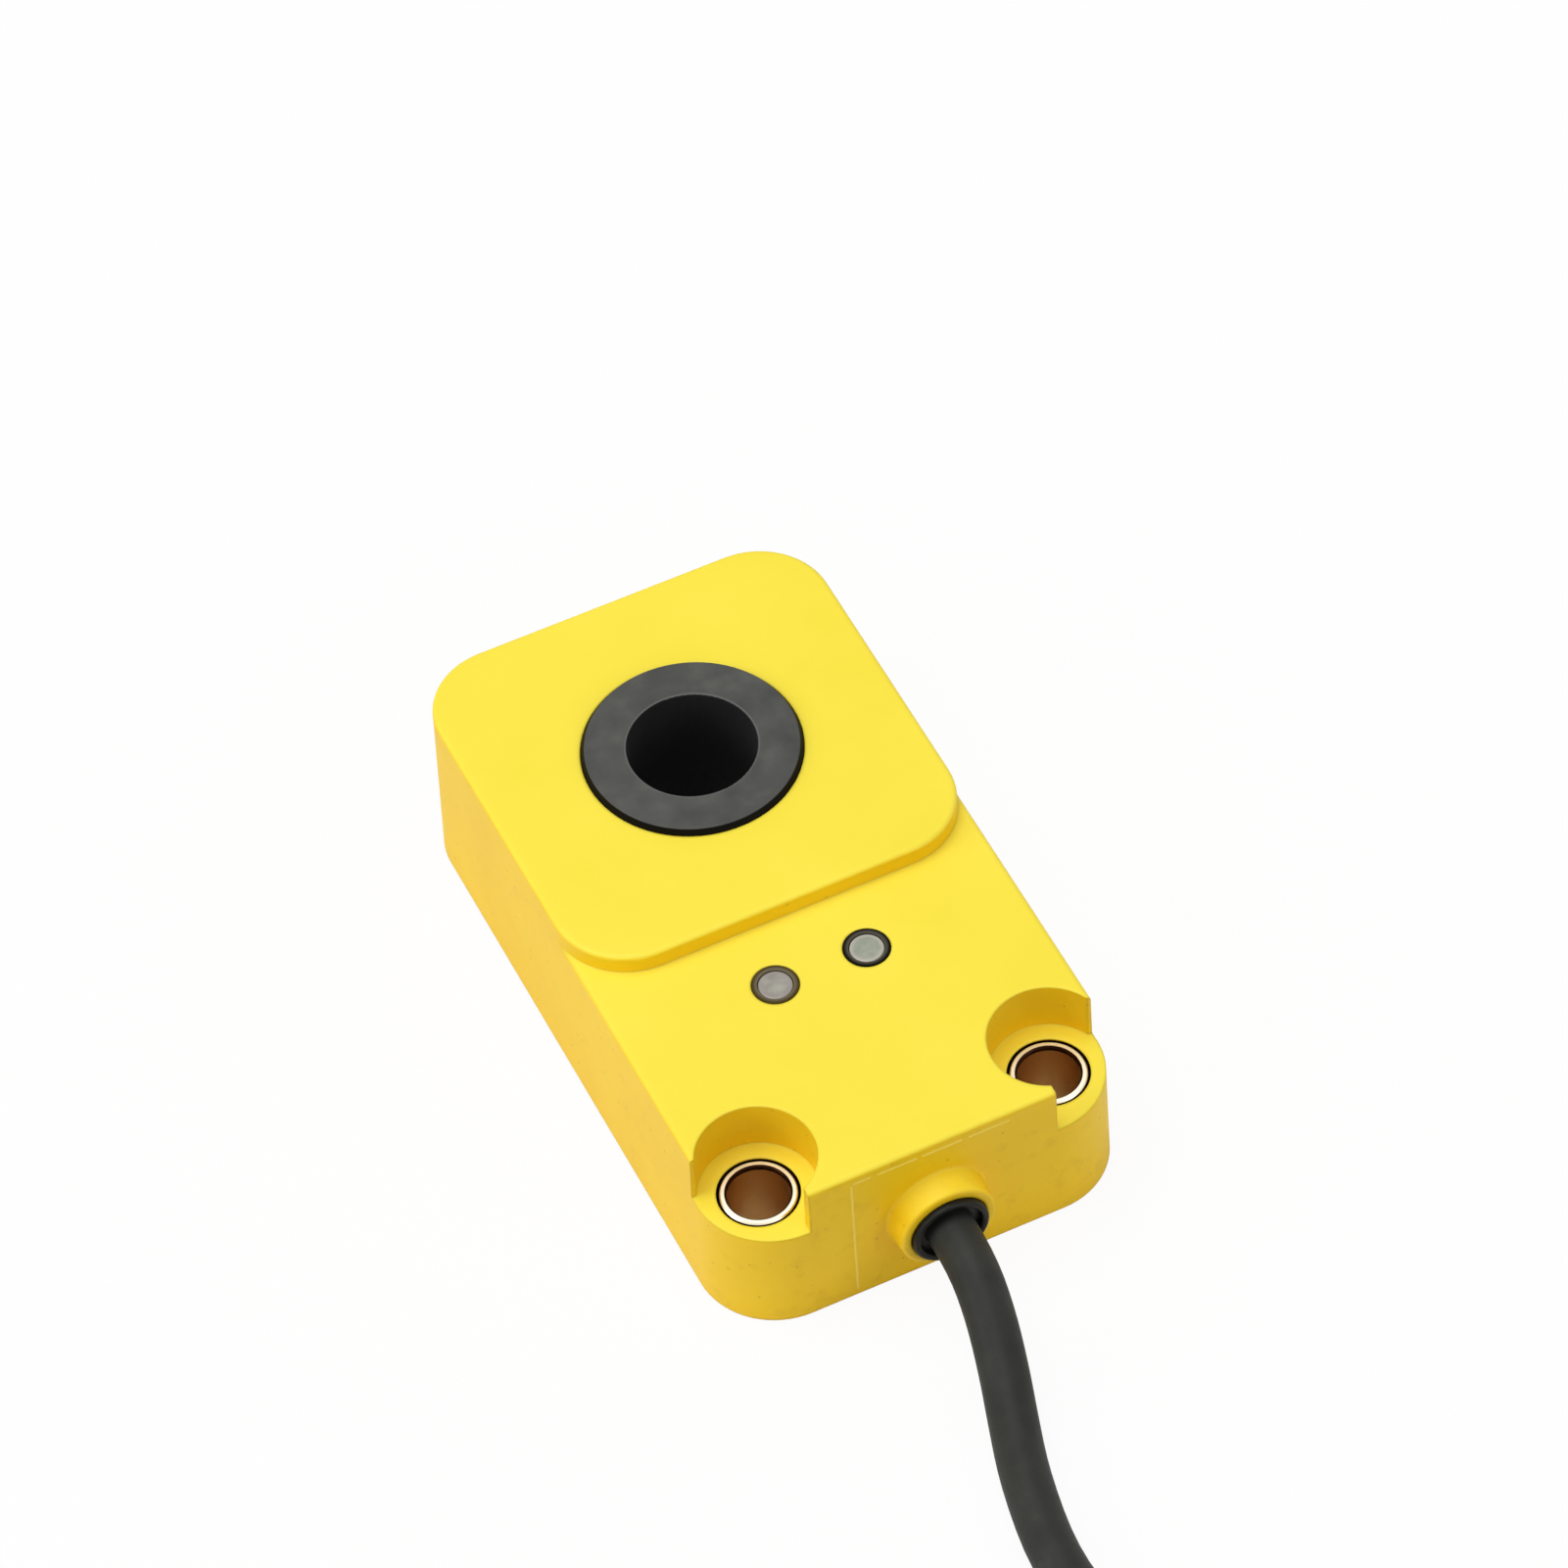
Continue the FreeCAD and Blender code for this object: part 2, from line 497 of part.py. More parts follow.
for side, sign in SIDES:
    lead = doc.addObject("Part::Cylinder", f"coil_lead_{side}")
    lead.Placement = Placement(Vector(), Rotation(Vector(1, 0, 0), 90))
    bind(lead, "Radius", "lead_thickness / 2")
    bind(lead, "Height", "board_back + lead_on_board - winding_radius")
    bind(lead, "Placement.Base.x", f"{sign}lead_spacing / 2")
    bind(lead, "Placement.Base.y", "-winding_radius")
    bind(lead, "Placement.Base.z", f"{BOARD_TOP} + lead_thickness / 2")


# Circuit board on the cover's pegs, with the parts soldered to its top.

board = new_body("circuit_board")
sketch = new_sketch(board, "board_outline", lift=BOARD_BASE)
rounded_box(sketch, f"-{BOARD_HALF}", BOARD_HALF, BOARD_FRONT, "-board_back",
            "board_corner", "board_corner")
raise_sketch(board, "laminate", sketch, "board_thickness")

for name, anchor, *values in BOARD_PARTS:
    place = {"left": f"{name}_inset - {BOARD_HALF}", "right": f"{BOARD_HALF} - {name}_inset",
             "middle": f"{name}_inset"}[anchor]
    chip = new_body(name, place, f"-{name}_distance", BOARD_TOP)
    half_x, half_y = f"{name}_length / 2", f"{name}_width / 2"
    sketch = new_sketch(chip, "package_outline")
    box(sketch, f"-{half_x}", half_x, f"-{half_y}", half_y)
    raise_sketch(chip, "package", sketch, f"{name}_height")
    soften(chip, "package_edge", "Chamfer", "0.12 * " + f"{name}_height",
           lambda edge: lies_at(edge, "Z", f"{name}_height"))
    legs = LEGS_ON_EACH_SIDE.get(name)
    if legs:
        pitch = f"{name}_width / {legs}"
        sketch = new_sketch(chip, "leg_outline")
        box(sketch, f"-{half_x} - board_corner", f"{half_x} + board_corner",
            f"{pitch} * 0.3 - {half_y}", f"{pitch} * 0.7 - {half_y}")
        leg_row = raise_sketch(chip, "legs", sketch, f"{name}_height / 4")
        doc.recompute()
        row = chip.newObject("PartDesign::LinearPattern", "leg_row")
        row.Originals = [leg_row]
        row.Direction = (sketch, ["V_Axis"])
        row.Occurrences = legs
        bind(row, "Length", f"{pitch} * {legs - 1}")
        chip.Tip = row


# Cable gland: a rubber grommet in the boss, gripped from inside by a crimp ring
# on the sheath, whose three cores go on to pads at the board's front edge.

grommet = new_body("cable_grommet", y="wall - body_front", z=CABLE_HEIGHT, tilt=90)
cable_hole = "cable_thickness / 2 + fit_gap"
grommet_end = "wall + boss_length + grommet_proud"
turn(grommet, "gland_body", (
    (cable_hole, "-grommet_flange_length"), ("grommet_flange", "-grommet_flange_length"),
    ("grommet_flange", "0"), ("grommet_radius", "0"), ("grommet_radius", grommet_end),
    ("cup_radius", grommet_end), ("cup_radius", f"{grommet_end} - cup_depth"),
    (cable_hole, f"{grommet_end} - cup_depth")))
soften(grommet, "gland_rims", "Fillet", "grommet_round",
       lambda edge: lies_at(edge, "Z", grommet_end))
clamp = new_body("cable_clamp", y="wall + grommet_flange_length - body_front",
                 z=CABLE_HEIGHT, tilt=-90)
turn(clamp, "crimp_ring", ((cable_hole, "0"), (f"{cable_hole} + clamp_wall", "0"),
                           (f"{cable_hole} + clamp_wall", "clamp_length"),
                           (cable_hole, "clamp_length")))
soften(clamp, "crimp_rims", "Fillet", "clamp_round",
       lambda edge: ring_radius(edge) > number("cable_thickness / 2 + clamp_wall"))
sheath = doc.addObject("Part::Cylinder", "cable_sheath_end")
sheath.Placement = Placement(Vector(), Rotation(Vector(1, 0, 0), -90))
bind(sheath, "Radius", "cable_thickness / 2")
bind(sheath, "Height", f"{SHEATH_END_Y} - ({EXIT_Y})")
bind(sheath, "Placement.Base.y", EXIT_Y)
bind(sheath, "Placement.Base.z", CABLE_HEIGHT)

core_size = number("core_thickness")
for colour, angle, pad_column, bare_route in CORES:
    across = number("core_ring") * math.cos(math.radians(angle))
    above = number("core_ring") * math.sin(math.radians(angle))
    start = Vector(across, number(SHEATH_END_Y), number(CABLE_HEIGHT) + above)
    rest_height = number(BOARD_TOP) + core_size / 2
    pad_x = pad_column * number("pad_spacing")
    edge_y = number(BOARD_FRONT)
    finished(f"inner_core_{colour}", tube(f"inner_core_{colour}", (
        start, start + Vector(0, core_size, 0),
        (pad_x, edge_y - core_size, rest_height + 0.15),
        (pad_x, edge_y + core_size / 2, rest_height + 0.05),
        (pad_x, edge_y + number("core_on_board"), rest_height)), core_size))


# Cable: a run over the floor, the length beyond it wound into a neat oval coil with a tie,
# and its far end on the coil, with the sheath cut back from three stripped cores.

cable_size = number("cable_thickness")
coil = new_body("cable_coil", "coil_x", "coil_y")
stack = "coil_layers * cable_thickness"
coil_inside = f"(coil_middle_radius - {stack} / 2)"
coil_outside = f"(coil_middle_radius + {stack} / 2)"


def half_coil(name, lift, outside, height, turned_back):
    """Half a turn of the bundle's section about the body's Z axis, moved along by a lift."""
    section = new_sketch(coil, f"{name}_section", "XZ_Plane", lift)
    rounded_box(section, coil_inside, outside, "0", height, "coil_corner", "coil_corner")
    feature = coil.newObject("PartDesign::Revolution", name)
    feature.Profile = section
    feature.ReferenceAxis = (section, ["V_Axis"])
    feature.Angle = 180
    feature.Reversed = turned_back


half_coil("near_end_low_layers", "0", coil_outside, f"{stack} - cable_thickness", False)
half_coil("near_end_inner_turns", "0", f"({coil_outside} - cable_thickness)", stack, False)
half_coil("far_end", "coil_straight", coil_outside, stack, True)
for side, inner, outer in (("right", coil_inside, coil_outside),
                           ("left", f"-{coil_outside}", f"-{coil_inside}")):
    sketch = new_sketch(coil, f"{side}_section", "XZ_Plane")
    rounded_box(sketch, inner, outer, "0", stack, "coil_corner", "coil_corner")
    raise_sketch(coil, f"{side}_side", sketch, "coil_straight")


def tie_section(body, name, outset):
    """A frame round the bundle's section, where the tie draws the turns together."""
    frame = new_sketch(body, name, "XZ_Plane", "coil_straight / 2")
    rounded_box(frame, f"{coil_inside} - {outset}", f"{coil_outside} + {outset}",
                f"-{outset}", f"{stack} + {outset}",
                f"coil_corner + {outset}", f"coil_corner + {outset}")
    rounded_box(frame, f"{coil_inside} + tie_thickness", f"{coil_outside} - tie_thickness",
                "tie_thickness", f"{stack} - tie_thickness",
                "coil_corner - tie_thickness", "coil_corner - tie_thickness")
    return frame


cut_sketch(coil, "tie_waist", tie_section(coil, "waist_outline", "wall"), "tie_width", middle=True)
tie = new_body("cable_tie", "coil_x", "coil_y")
raise_sketch(tie, "tie_band", tie_section(tie, "band_outline", "0"), "tie_width", middle=True)

doc.recompute()
exit_point = (0, number(EXIT_Y), number(CABLE_HEIGHT))
run = tube("cable_run", (exit_point,) + RUN_ROUTE, cable_size)
finished("cable_run", run.cut(coil.Shape))
tail = tube("cable_tail", TAIL_ROUTE, cable_size)
finished("cable_tail", tail.cut(coil.Shape))

tail_end = Vector(*TAIL_ROUTE[-1])
heading = (tail_end - Vector(*TAIL_ROUTE[-2])).normalize()
sideways = heading.cross(Vector(0, 0, 1)).normalize()
upward = sideways.cross(heading)
for colour, angle, pad_column, bare_route in CORES:
    offset = (sideways * math.cos(math.radians(angle)) + upward * math.sin(math.radians(angle)))
    start = tail_end + offset * number("core_ring")
    points = [start, start + heading * core_size] + [Vector(*point) for point in bare_route]
    finished(f"end_core_{colour}", tube(f"end_core_{colour}", points, core_size))
    direction = (points[-1] - points[-2]).normalize()
    strand = Part.makeCylinder(number("strand_thickness / 2"), number("strand_length"),
                               points[-1], direction)
    finished(f"bare_strand_{colour}", strand)


# Checks, then one file for each sub-part

doc.recompute()
failed = [item.Label for item in doc.Objects if set(item.State) & {"Invalid", "Error"}]
if failed:
    raise RuntimeError(f"failed to build: {failed}")
owned = {item.Name for body in doc.findObjects("PartDesign::Body") for item in body.Group}
parts = [item for item in doc.Objects if item.Name not in owned
         and (item.isDerivedFrom("PartDesign::Body") or item.isDerivedFrom("Part::Feature"))]
for part in parts:
    if part.Shape.isNull() or not part.Shape.isValid() or not part.Shape.Solids:
        raise RuntimeError(f"bad shape: {part.Label}")
os.makedirs("parts", exist_ok=True)
for part in parts:
    part.Shape.exportStep(f"parts/{part.Label}.step")
print(len(parts), "sub-parts written")
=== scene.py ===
# Ring inductive proximity switch: a flat yellow moulded sensor with a round sensing bore,
# two lamps, two sleeved screw holes and a moulded-in three-core cable.
import math
import bmesh
import bpy
import numpy as np
from mathutils import Matrix, Vector


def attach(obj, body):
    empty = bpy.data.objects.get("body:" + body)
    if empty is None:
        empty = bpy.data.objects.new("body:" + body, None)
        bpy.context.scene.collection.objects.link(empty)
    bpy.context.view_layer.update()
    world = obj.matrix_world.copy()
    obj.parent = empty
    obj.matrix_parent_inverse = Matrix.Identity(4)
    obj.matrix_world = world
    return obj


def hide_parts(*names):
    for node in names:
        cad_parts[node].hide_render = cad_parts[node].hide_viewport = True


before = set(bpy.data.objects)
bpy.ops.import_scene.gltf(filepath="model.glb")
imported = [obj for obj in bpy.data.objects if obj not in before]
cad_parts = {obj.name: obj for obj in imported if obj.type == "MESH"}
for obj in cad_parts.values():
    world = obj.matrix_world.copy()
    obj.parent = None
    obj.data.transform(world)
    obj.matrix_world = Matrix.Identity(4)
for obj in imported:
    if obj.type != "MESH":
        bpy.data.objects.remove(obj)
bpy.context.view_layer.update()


# The photograph's camera. A long lens looks down at the sensor from its front left corner,
# turned a little about its own line of sight.
EYE, AIM = Vector((-0.13054, -0.32504, 0.43444)), Vector((0.00869, 0.00494, 0.0))
ROLL = math.radians(-3.72)
LENS, SENSOR = 184.1447, 36.0

back = (EYE - AIM).normalized()
level = Vector((-back.y, back.x, 0)).normalized()
above = back.cross(level)
right = level * math.cos(ROLL) + above * math.sin(ROLL)
upward = above * math.cos(ROLL) - level * math.sin(ROLL)
camera = bpy.data.objects.new("photo_camera", bpy.data.cameras.new("photo_camera"))
camera.matrix_world = Matrix((
    (right.x, upward.x, back.x, EYE.x), (right.y, upward.y, back.y, EYE.y),
    (right.z, upward.z, back.z, EYE.z), (0, 0, 0, 1)))
camera.data.lens, camera.data.sensor_width = LENS, SENSOR
camera.data.sensor_fit = "HORIZONTAL"
camera.data.clip_start, camera.data.clip_end = 0.01, 20
bpy.context.scene.collection.objects.link(camera)
bpy.context.scene.camera = camera


# The cable: a round three-core lead in a satin dark grey polyurethane sheath, extruded and
# then moulded into the housing. It drops to the table and runs on in a shallow curve; the
# rest of its 2 m is put away beyond, as an oval hank of four layers of four turns.
CABLE, CABLE_LENGTH = 0.0034, 2.0
EXIT = (0.0, -0.03938, 0.00595)
ROUTE = (
    EXIT, (0.0, -0.0421, 0.00595), (-0.00036, -0.04548, 0.0047), (-0.00114, -0.04899, 0.0031),
    (-0.00201, -0.05195, 0.00195), (-0.00345, -0.0566, 0.00175), (-0.0046, -0.0632, 0.00175),
    (-0.0040, -0.0687, 0.00175), (-0.0017, -0.07365, 0.00175), (0.0021, -0.0776, 0.00175),
    (0.0070, -0.0822, 0.00175), (0.0108, -0.0883, 0.00175), (0.0129, -0.0945, 0.00175))
TAIL = ((-0.0276, -0.0978, 0.01195), (-0.0269, -0.0928, 0.01195))
HANK_CENTRE, HANK_STRAIGHT = np.array((-0.0071, -0.0990)), 0.012
COLUMNS = np.array((0.0204, 0.0170, 0.0136, 0.0102))  # the turns' radii, from the outside in
LAYER, LAYERS, OFF_FLOOR = 0.00337, 4, 0.00005
STEPS, LAST_TURN = 24, 0.6  # points in a turn, and how much of the last one is wound
FAR_BEND, WAY_BACK, NEAR_BEND = 0.1, 0.5, 0.6  # the shares of a turn where they begin
EASE_FROM, EASE_OVER = 0.75, 0.18  # where it eases into the next turn, and for how long
TIE_AT, TIE_SQUEEZE, TIE_FLAT, TIE_FADE = 0.05, 0.165, 0.02, 0.13


def hank_points():
    """Points of the wound turns, clockwise from the +X side. A turn's share p of 1 goes along
    the right side to 0.1, round the far bend to 0.5, back along the left side to 0.6 and
    round the near bend. Its radius r and height z ease to the next column's and layer's over
    p = 0.75 to 0.93: a point lies at centre + (r cos a, r sin a - s), a = -180 deg (share of
    the far bend + share of the near bend), s = straight (right share - left share). Near the
    tie both r and z draw in to the bundle's middle by (1 - squeeze cos^2 w). The last factor
    of r makes up for what the spline cuts from the bends."""
    order = np.concatenate([COLUMNS if row % 2 == 0 else COLUMNS[::-1] for row in range(LAYERS)])
    rows = np.repeat(np.arange(LAYERS), len(COLUMNS))
    turns = np.arange(1, STEPS * (len(order) - 1) + round(STEPS * LAST_TURN)) / STEPS
    whole = turns.astype(int)
    share = turns - whole
    ease = np.clip((share - EASE_FROM) / EASE_OVER, 0, 1)
    ease = ease * ease * (3 - 2 * ease)
    after = np.minimum(whole + 1, len(order) - 1)
    radius = order[whole] * (1 - ease) + order[after] * ease
    height = CABLE / 2 + OFF_FLOOR + LAYER * (rows[whole] * (1 - ease) + rows[after] * ease)
    bend = WAY_BACK - FAR_BEND
    bends = np.clip((share - FAR_BEND) / bend, 0, 1) + np.clip((share - NEAR_BEND) / bend, 0, 1)
    angle = -np.pi * bends
    along = HANK_STRAIGHT * (np.clip(share / FAR_BEND, 0, 1)
                             - np.clip((share - WAY_BACK) / FAR_BEND, 0, 1))
    away = np.abs((share - TIE_AT + 0.5) % 1 - 0.5)
    fade = np.clip((away - TIE_FLAT) / TIE_FADE, 0, 1)
    squeeze = 1 - TIE_SQUEEZE * np.cos(np.pi / 2 * fade) ** 2
    middle_radius, middle_height = COLUMNS.mean(), CABLE / 2 + LAYER * (LAYERS - 1) / 2
    radius = middle_radius + (radius - middle_radius) * squeeze
    height = middle_height + (height - middle_height) * squeeze
    cut_corner = 1 / math.cos(math.pi / bend / STEPS / 2)
    radius = radius * (1 + (cut_corner - 1) * np.minimum(1, 3 * np.abs(np.sin(angle))))
    return np.stack([HANK_CENTRE[0] + radius * np.cos(angle),
                     HANK_CENTRE[1] + radius * np.sin(angle) - along, height], axis=1)


def linear(colour):
    """A hex sRGB colour as linear red, green, blue and alpha."""
    parts = np.array([int(colour[i:i + 2], 16) / 255 for i in (1, 3, 5)])
    parts = np.where(parts <= 0.04045, parts / 12.92, ((parts + 0.055) / 1.055) ** 2.4)
    return (*parts, 1.0)


def add_node(tree, kind, inputs=None, stops=None, **settings):
    """Add one node with its settings. An input takes a number, a hex colour, a socket, or a
    node, which stands for its first output. Stops are a colour ramp's places and colours."""
    node = tree.nodes.new(kind)
    for name, value in settings.items():
        setattr(node, name, value)
    for name, value in (inputs or {}).items():
        if isinstance(value, bpy.types.Node):
            value = value.outputs[0]
        if isinstance(value, bpy.types.NodeSocket):
            tree.links.new(value, node.inputs[name])
        else:
            node.inputs[name].default_value = linear(value) if isinstance(value, str) else value
    if stops:
        for _ in range(len(stops) - 2):
            node.color_ramp.elements.new(0.5)
        for element, (place, colour) in zip(node.color_ramp.elements, stops.items()):
            element.position, element.color = place, linear(colour)
    return node


def new_finish(name, **sockets):
    """A material with its node tree and shader, whose plain sockets are set by name."""
    finish = bpy.data.materials.new(name)
    finish.use_nodes = True
    shader = finish.node_tree.nodes["Principled BSDF"]
    for socket, value in sockets.items():
        shader.inputs[socket.replace("_", " ")].default_value = value
    return finish, finish.node_tree, shader


def grain(tree, shader, size, height, softened=None):
    """Bump of a fine grain: noise whose cells are size wide and height deep, in metres, on
    normals that an edge node has softened. Gives the places it reads and its noise."""
    places = add_node(tree, "ShaderNodeTexCoord").outputs["Object"]
    noise = add_node(tree, "ShaderNodeTexNoise",
                     {"Vector": places, "Scale": 1 / size, "Detail": 3.0, "Roughness": 0.6})
    bump = add_node(tree, "ShaderNodeBump", {"Height": noise, "Distance": height})
    if softened is not None:
        tree.links.new(softened.outputs["Normal"], bump.inputs["Normal"])
    tree.links.new(bump.outputs["Normal"], shader.inputs["Normal"])
    return places, noise


def paint(tree, shader, colour):
    """Give the shader the colour that a node works out."""
    tree.links.new(colour.outputs[0], shader.inputs["Base Color"])


def wear(*names, finish):
    """Give CAD nodes their finish."""
    for name in names:
        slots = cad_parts[name].data.materials
        for index in range(len(slots)):
            slots[index] = finish


# Extruded polyurethane: satin, dark, with lighter rubs 3 mm across and a 0.2 mm matt grain,
# so that the eye reads a soft dark grey tube whose highlight is broad and dull.
sheath, tree, shader = new_finish("extruded_polyurethane", Roughness=0.5, IOR=1.5,
                                  Specular_IOR_Level=0.16)
places, noise = grain(tree, shader, 0.00022, 0.000014)
rubs = add_node(tree, "ShaderNodeTexNoise",
                {"Vector": places, "Scale": 1 / 0.003125, "Detail": 3.0})
paint(tree, shader, add_node(tree, "ShaderNodeValToRGB", {"Fac": rubs},
                             stops={0.34: "#292A27", 0.62: "#31322E", 0.78: "#3D3E39"}))

route = np.concatenate([ROUTE, hank_points(), TAIL])
line = bpy.data.curves.new("cable", "CURVE")
line.dimensions = "3D"
line.resolution_u = 4
spline = line.splines.new("NURBS")
spline.points.add(len(route) - 1)
spline.points.foreach_set("co", np.column_stack([route, np.ones(len(route))]).ravel())
spline.order_u, spline.use_endpoint_u = 3, True
line.bevel_depth, line.bevel_resolution, line.use_fill_caps = CABLE / 2, 8, True
line.materials.append(sheath)
cable = bpy.data.objects.new("cable", line)
bpy.context.scene.collection.objects.link(cable)
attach(cable, "root")
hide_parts("cable_run", "cable_coil", "cable_tail")
wear("cable_sheath_end", finish=sheath)


# The hank's tie: a black nylon strap, moulded with its head, drawn round the sixteen turns.
# Its teeth face outwards across the middle of the strap, which leaves the head as a cut stub.
STRAP_WIDTH, STRAP, STRAP_BEND, STRAP_Y = 0.0034, 0.00074, 0.0016, -0.1050
STRAP_BOX = np.array(((0.0014, 0.0), (0.0150, 0.0136)))  # its lowest and highest X and Z
TOOTH, TOOTH_DEPTH, BEND_STEPS = 0.0009, 0.00014, 7
STRAP_SECTION = (  # share of the width, whether teeth cut it, and its depth in thicknesses
    (-0.5, 0, 0.15), (-0.44, 0, 0), (-0.27, 0, 0), (-0.25, 1, 0), (0.25, 1, 0), (0.27, 0, 0),
    (0.44, 0, 0), (0.5, 0, 0.15), (0.5, 0, 0.85), (0.44, 0, 1), (-0.44, 0, 1), (-0.5, 0, 0.85))
HEAD_EDGE = 0.00012
HEAD = (  # the middle of each block, along Y from the strap's own, and its size
    ((-0.00135, 0, 0.0081), (0.0013, 0.0048, 0.0034)),          # wall inside the hank
    ((0.0010, 0, 0.0081), (0.0009, 0.0048, 0.0034)),            # wall against the turns
    ((-0.000075, -0.002075, 0.0081), (0.0016, 0.00065, 0.0034)),  # its two cheeks
    ((-0.000075, 0.002075, 0.0081), (0.0016, 0.00065, 0.0034)),
    ((0.00018, 0, 0.0084), (0.00066, 0.0034, 0.0056)),          # the strap's cut stub
    ((-0.00045, 0, 0.0081), (0.0006, 0.0020, 0.0022)))          # pawl that holds its teeth


def strap_mesh():
    """A strap round a rounded box: the outer line runs at the box's sides, the inner line is
    a strap's thickness inside it, and across the middle half of its width the outer line is
    drawn in by saw teeth, depth * (1 - (s mod tooth) / tooth), with s the way along it."""
    half, centre = (STRAP_BOX[1] - STRAP_BOX[0]) / 2, (STRAP_BOX[1] + STRAP_BOX[0]) / 2
    turns = (np.arange(4)[:, None] * np.pi / 2 + np.linspace(0, np.pi / 2, BEND_STEPS)).ravel()
    bend = np.stack([np.cos(turns), np.sin(turns)], axis=1)
    corner = np.repeat([(1, 1), (-1, 1), (-1, -1), (1, -1)], BEND_STEPS, axis=0)
    corner = corner * (half - STRAP_BEND)
    next_corner, next_bend = np.roll(corner, -1, axis=0), np.roll(bend, -1, axis=0)
    steps = np.abs(next_corner - corner).sum(axis=1) / (TOOTH / 3)
    steps = np.maximum(1, np.round(steps)).astype(int)
    run = np.repeat(np.arange(len(steps)), steps)
    share = ((np.arange(len(run)) - (np.cumsum(steps) - steps)[run]) / steps[run])[:, None]
    places = corner[run] * (1 - share) + next_corner[run] * share
    ways = bend[run] * (1 - share) + next_bend[run] * share
    outer = places + ways * STRAP_BEND
    step = np.linalg.norm(np.roll(outer, -1, axis=0) - outer, axis=1)
    along = np.concatenate([[0], np.cumsum(step)[:-1]])
    tooth = TOOTH_DEPTH * (1 - (along % TOOTH) / TOOTH)
    across, toothed, depth = np.array(STRAP_SECTION).T
    out = STRAP_BEND - STRAP * depth - toothed * tooth[:, None]
    flat = centre + places[:, None, :] + ways[:, None, :] * out[..., None]
    across = np.broadcast_to(STRAP_Y + across * STRAP_WIDTH, out.shape)
    points = np.stack([flat[..., 0], across, flat[..., 1]], axis=-1).reshape(-1, 3)
    index = np.arange(len(points)).reshape(out.shape)
    beside, after = np.roll(index, -1, axis=1), np.roll(index, -1, axis=0)
    faces = np.stack([index, beside, np.roll(beside, -1, axis=0), after], axis=-1)
    return points, faces.reshape(-1, 4).tolist()


def block(centre, size, edge):
    """A box with chamfered edges. Corner c with signs s has a point for each axis a, at
    centre + s * (half - edge), full out along a: they make its triangle, four of one axis and
    side make a face, and two corners that differ along an axis share a strip."""
    corners, bits = np.arange(8), np.array((4, 2, 1))
    signs = np.where(corners[:, None] & bits, 1, -1)
    reach = np.array(size) / 2 - edge * (1 - np.eye(3))
    points = np.array(centre) + signs[:, None, :] * reach
    faces = np.arange(24).reshape(8, 3).tolist()
    for axis, bit in enumerate(bits):
        low, one, two = corners[corners & bit == 0], (axis + 1) % 3, (axis + 2) % 3
        ring = low[[0, 1, 3, 2]]
        faces += [(3 * ring + axis).tolist(), (3 * (ring + bit) + axis).tolist()]
        faces += np.stack([3 * low + one, 3 * (low + bit) + one, 3 * (low + bit) + two,
                           3 * low + two], axis=1).tolist()
    return points.reshape(-1, 3), faces


def new_piece(name, parts, finish):
    """A mesh piece of (points, faces) parts with its faces turned outwards, riding on root."""
    mesh, work = bpy.data.meshes.new(name), bmesh.new()
    for points, faces in parts:
        mesh.clear_geometry()
        mesh.from_pydata(points.tolist(), [], faces)
        work.from_mesh(mesh)
    bmesh.ops.recalc_face_normals(work, faces=work.faces)
    work.to_mesh(mesh)
    work.free()
    mesh.polygons.foreach_set("use_smooth", [True] * len(mesh.polygons))
    mesh.set_sharp_from_angle(angle=math.radians(35))
    mesh.materials.append(finish)
    piece = bpy.data.objects.new(name, mesh)
    bpy.context.scene.collection.objects.link(piece)
    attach(piece, "root")
    return piece


# Glass-free nylon, moulded black: satin, a little greyer where it has rubbed, so that the
# strap stands off the duller sheath below it.
strap_nylon, tree, shader = new_finish("moulded_nylon_strap", Roughness=0.38, IOR=1.53,
                                       Specular_IOR_Level=0.4)
places, noise = grain(tree, shader, 0.0003, 0.00001)
paint(tree, shader, add_node(tree, "ShaderNodeValToRGB", {"Fac": noise},
                             stops={0.3: "#161615", 0.7: "#242422"}))
head = [block((x, STRAP_Y + y, z), size, HEAD_EDGE) for (x, y, z), size in HEAD]
strap = new_piece("cable_strap", [strap_mesh(), *head], strap_nylon)
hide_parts("cable_tie")


# The cable's free end: the sheath is cut back from three cores in brown, black and blue PVC,
# extruded, matt and scuffed in marks 1.4 mm across, and each is stripped to its strands.
CORES = {"brown": {0.35: "#4A2A18", 0.68: "#5E3820"}, "black": {0.35: "#161616", 0.68: "#262626"},
         "blue": {0.35: "#1C4E8C", 0.68: "#2A63A6"}}
for colour, shades in CORES.items():
    vinyl, tree, shader = new_finish(f"extruded_pvc_{colour}", Roughness=0.44, IOR=1.53)
    places, noise = grain(tree, shader, 0.0002, 0.000008)
    scuff = add_node(tree, "ShaderNodeTexNoise",
                     {"Vector": places, "Scale": 1 / 0.0014286, "Detail": 4.0})
    paint(tree, shader, add_node(tree, "ShaderNodeValToRGB", {"Fac": scuff}, stops=shades))
    wear(f"inner_core_{colour}", f"end_core_{colour}", finish=vinyl)

# The bare strands: nineteen bright copper wires to a core, drawn, twisted to the left and
# cut square. Each row gives a point inside a core and the core's end.
STRAND_ENDS = {
    "brown": ((-0.02419, -0.08612, 0.01085), (-0.02249, -0.08413, 0.01082)),
    "black": ((-0.02347, -0.08666, 0.01175), (-0.02028, -0.08330, 0.01160)),
    "blue": ((-0.02275, -0.08720, 0.01085), (-0.02072, -0.08490, 0.01082))}
BARE, SUNK, WIRE, LAY = 0.0049, 0.0002, 0.00005, 0.006
RING_WIRES = (1, 6, 12)
WIRE_STEPS, WIRE_SIDES = 36, 8


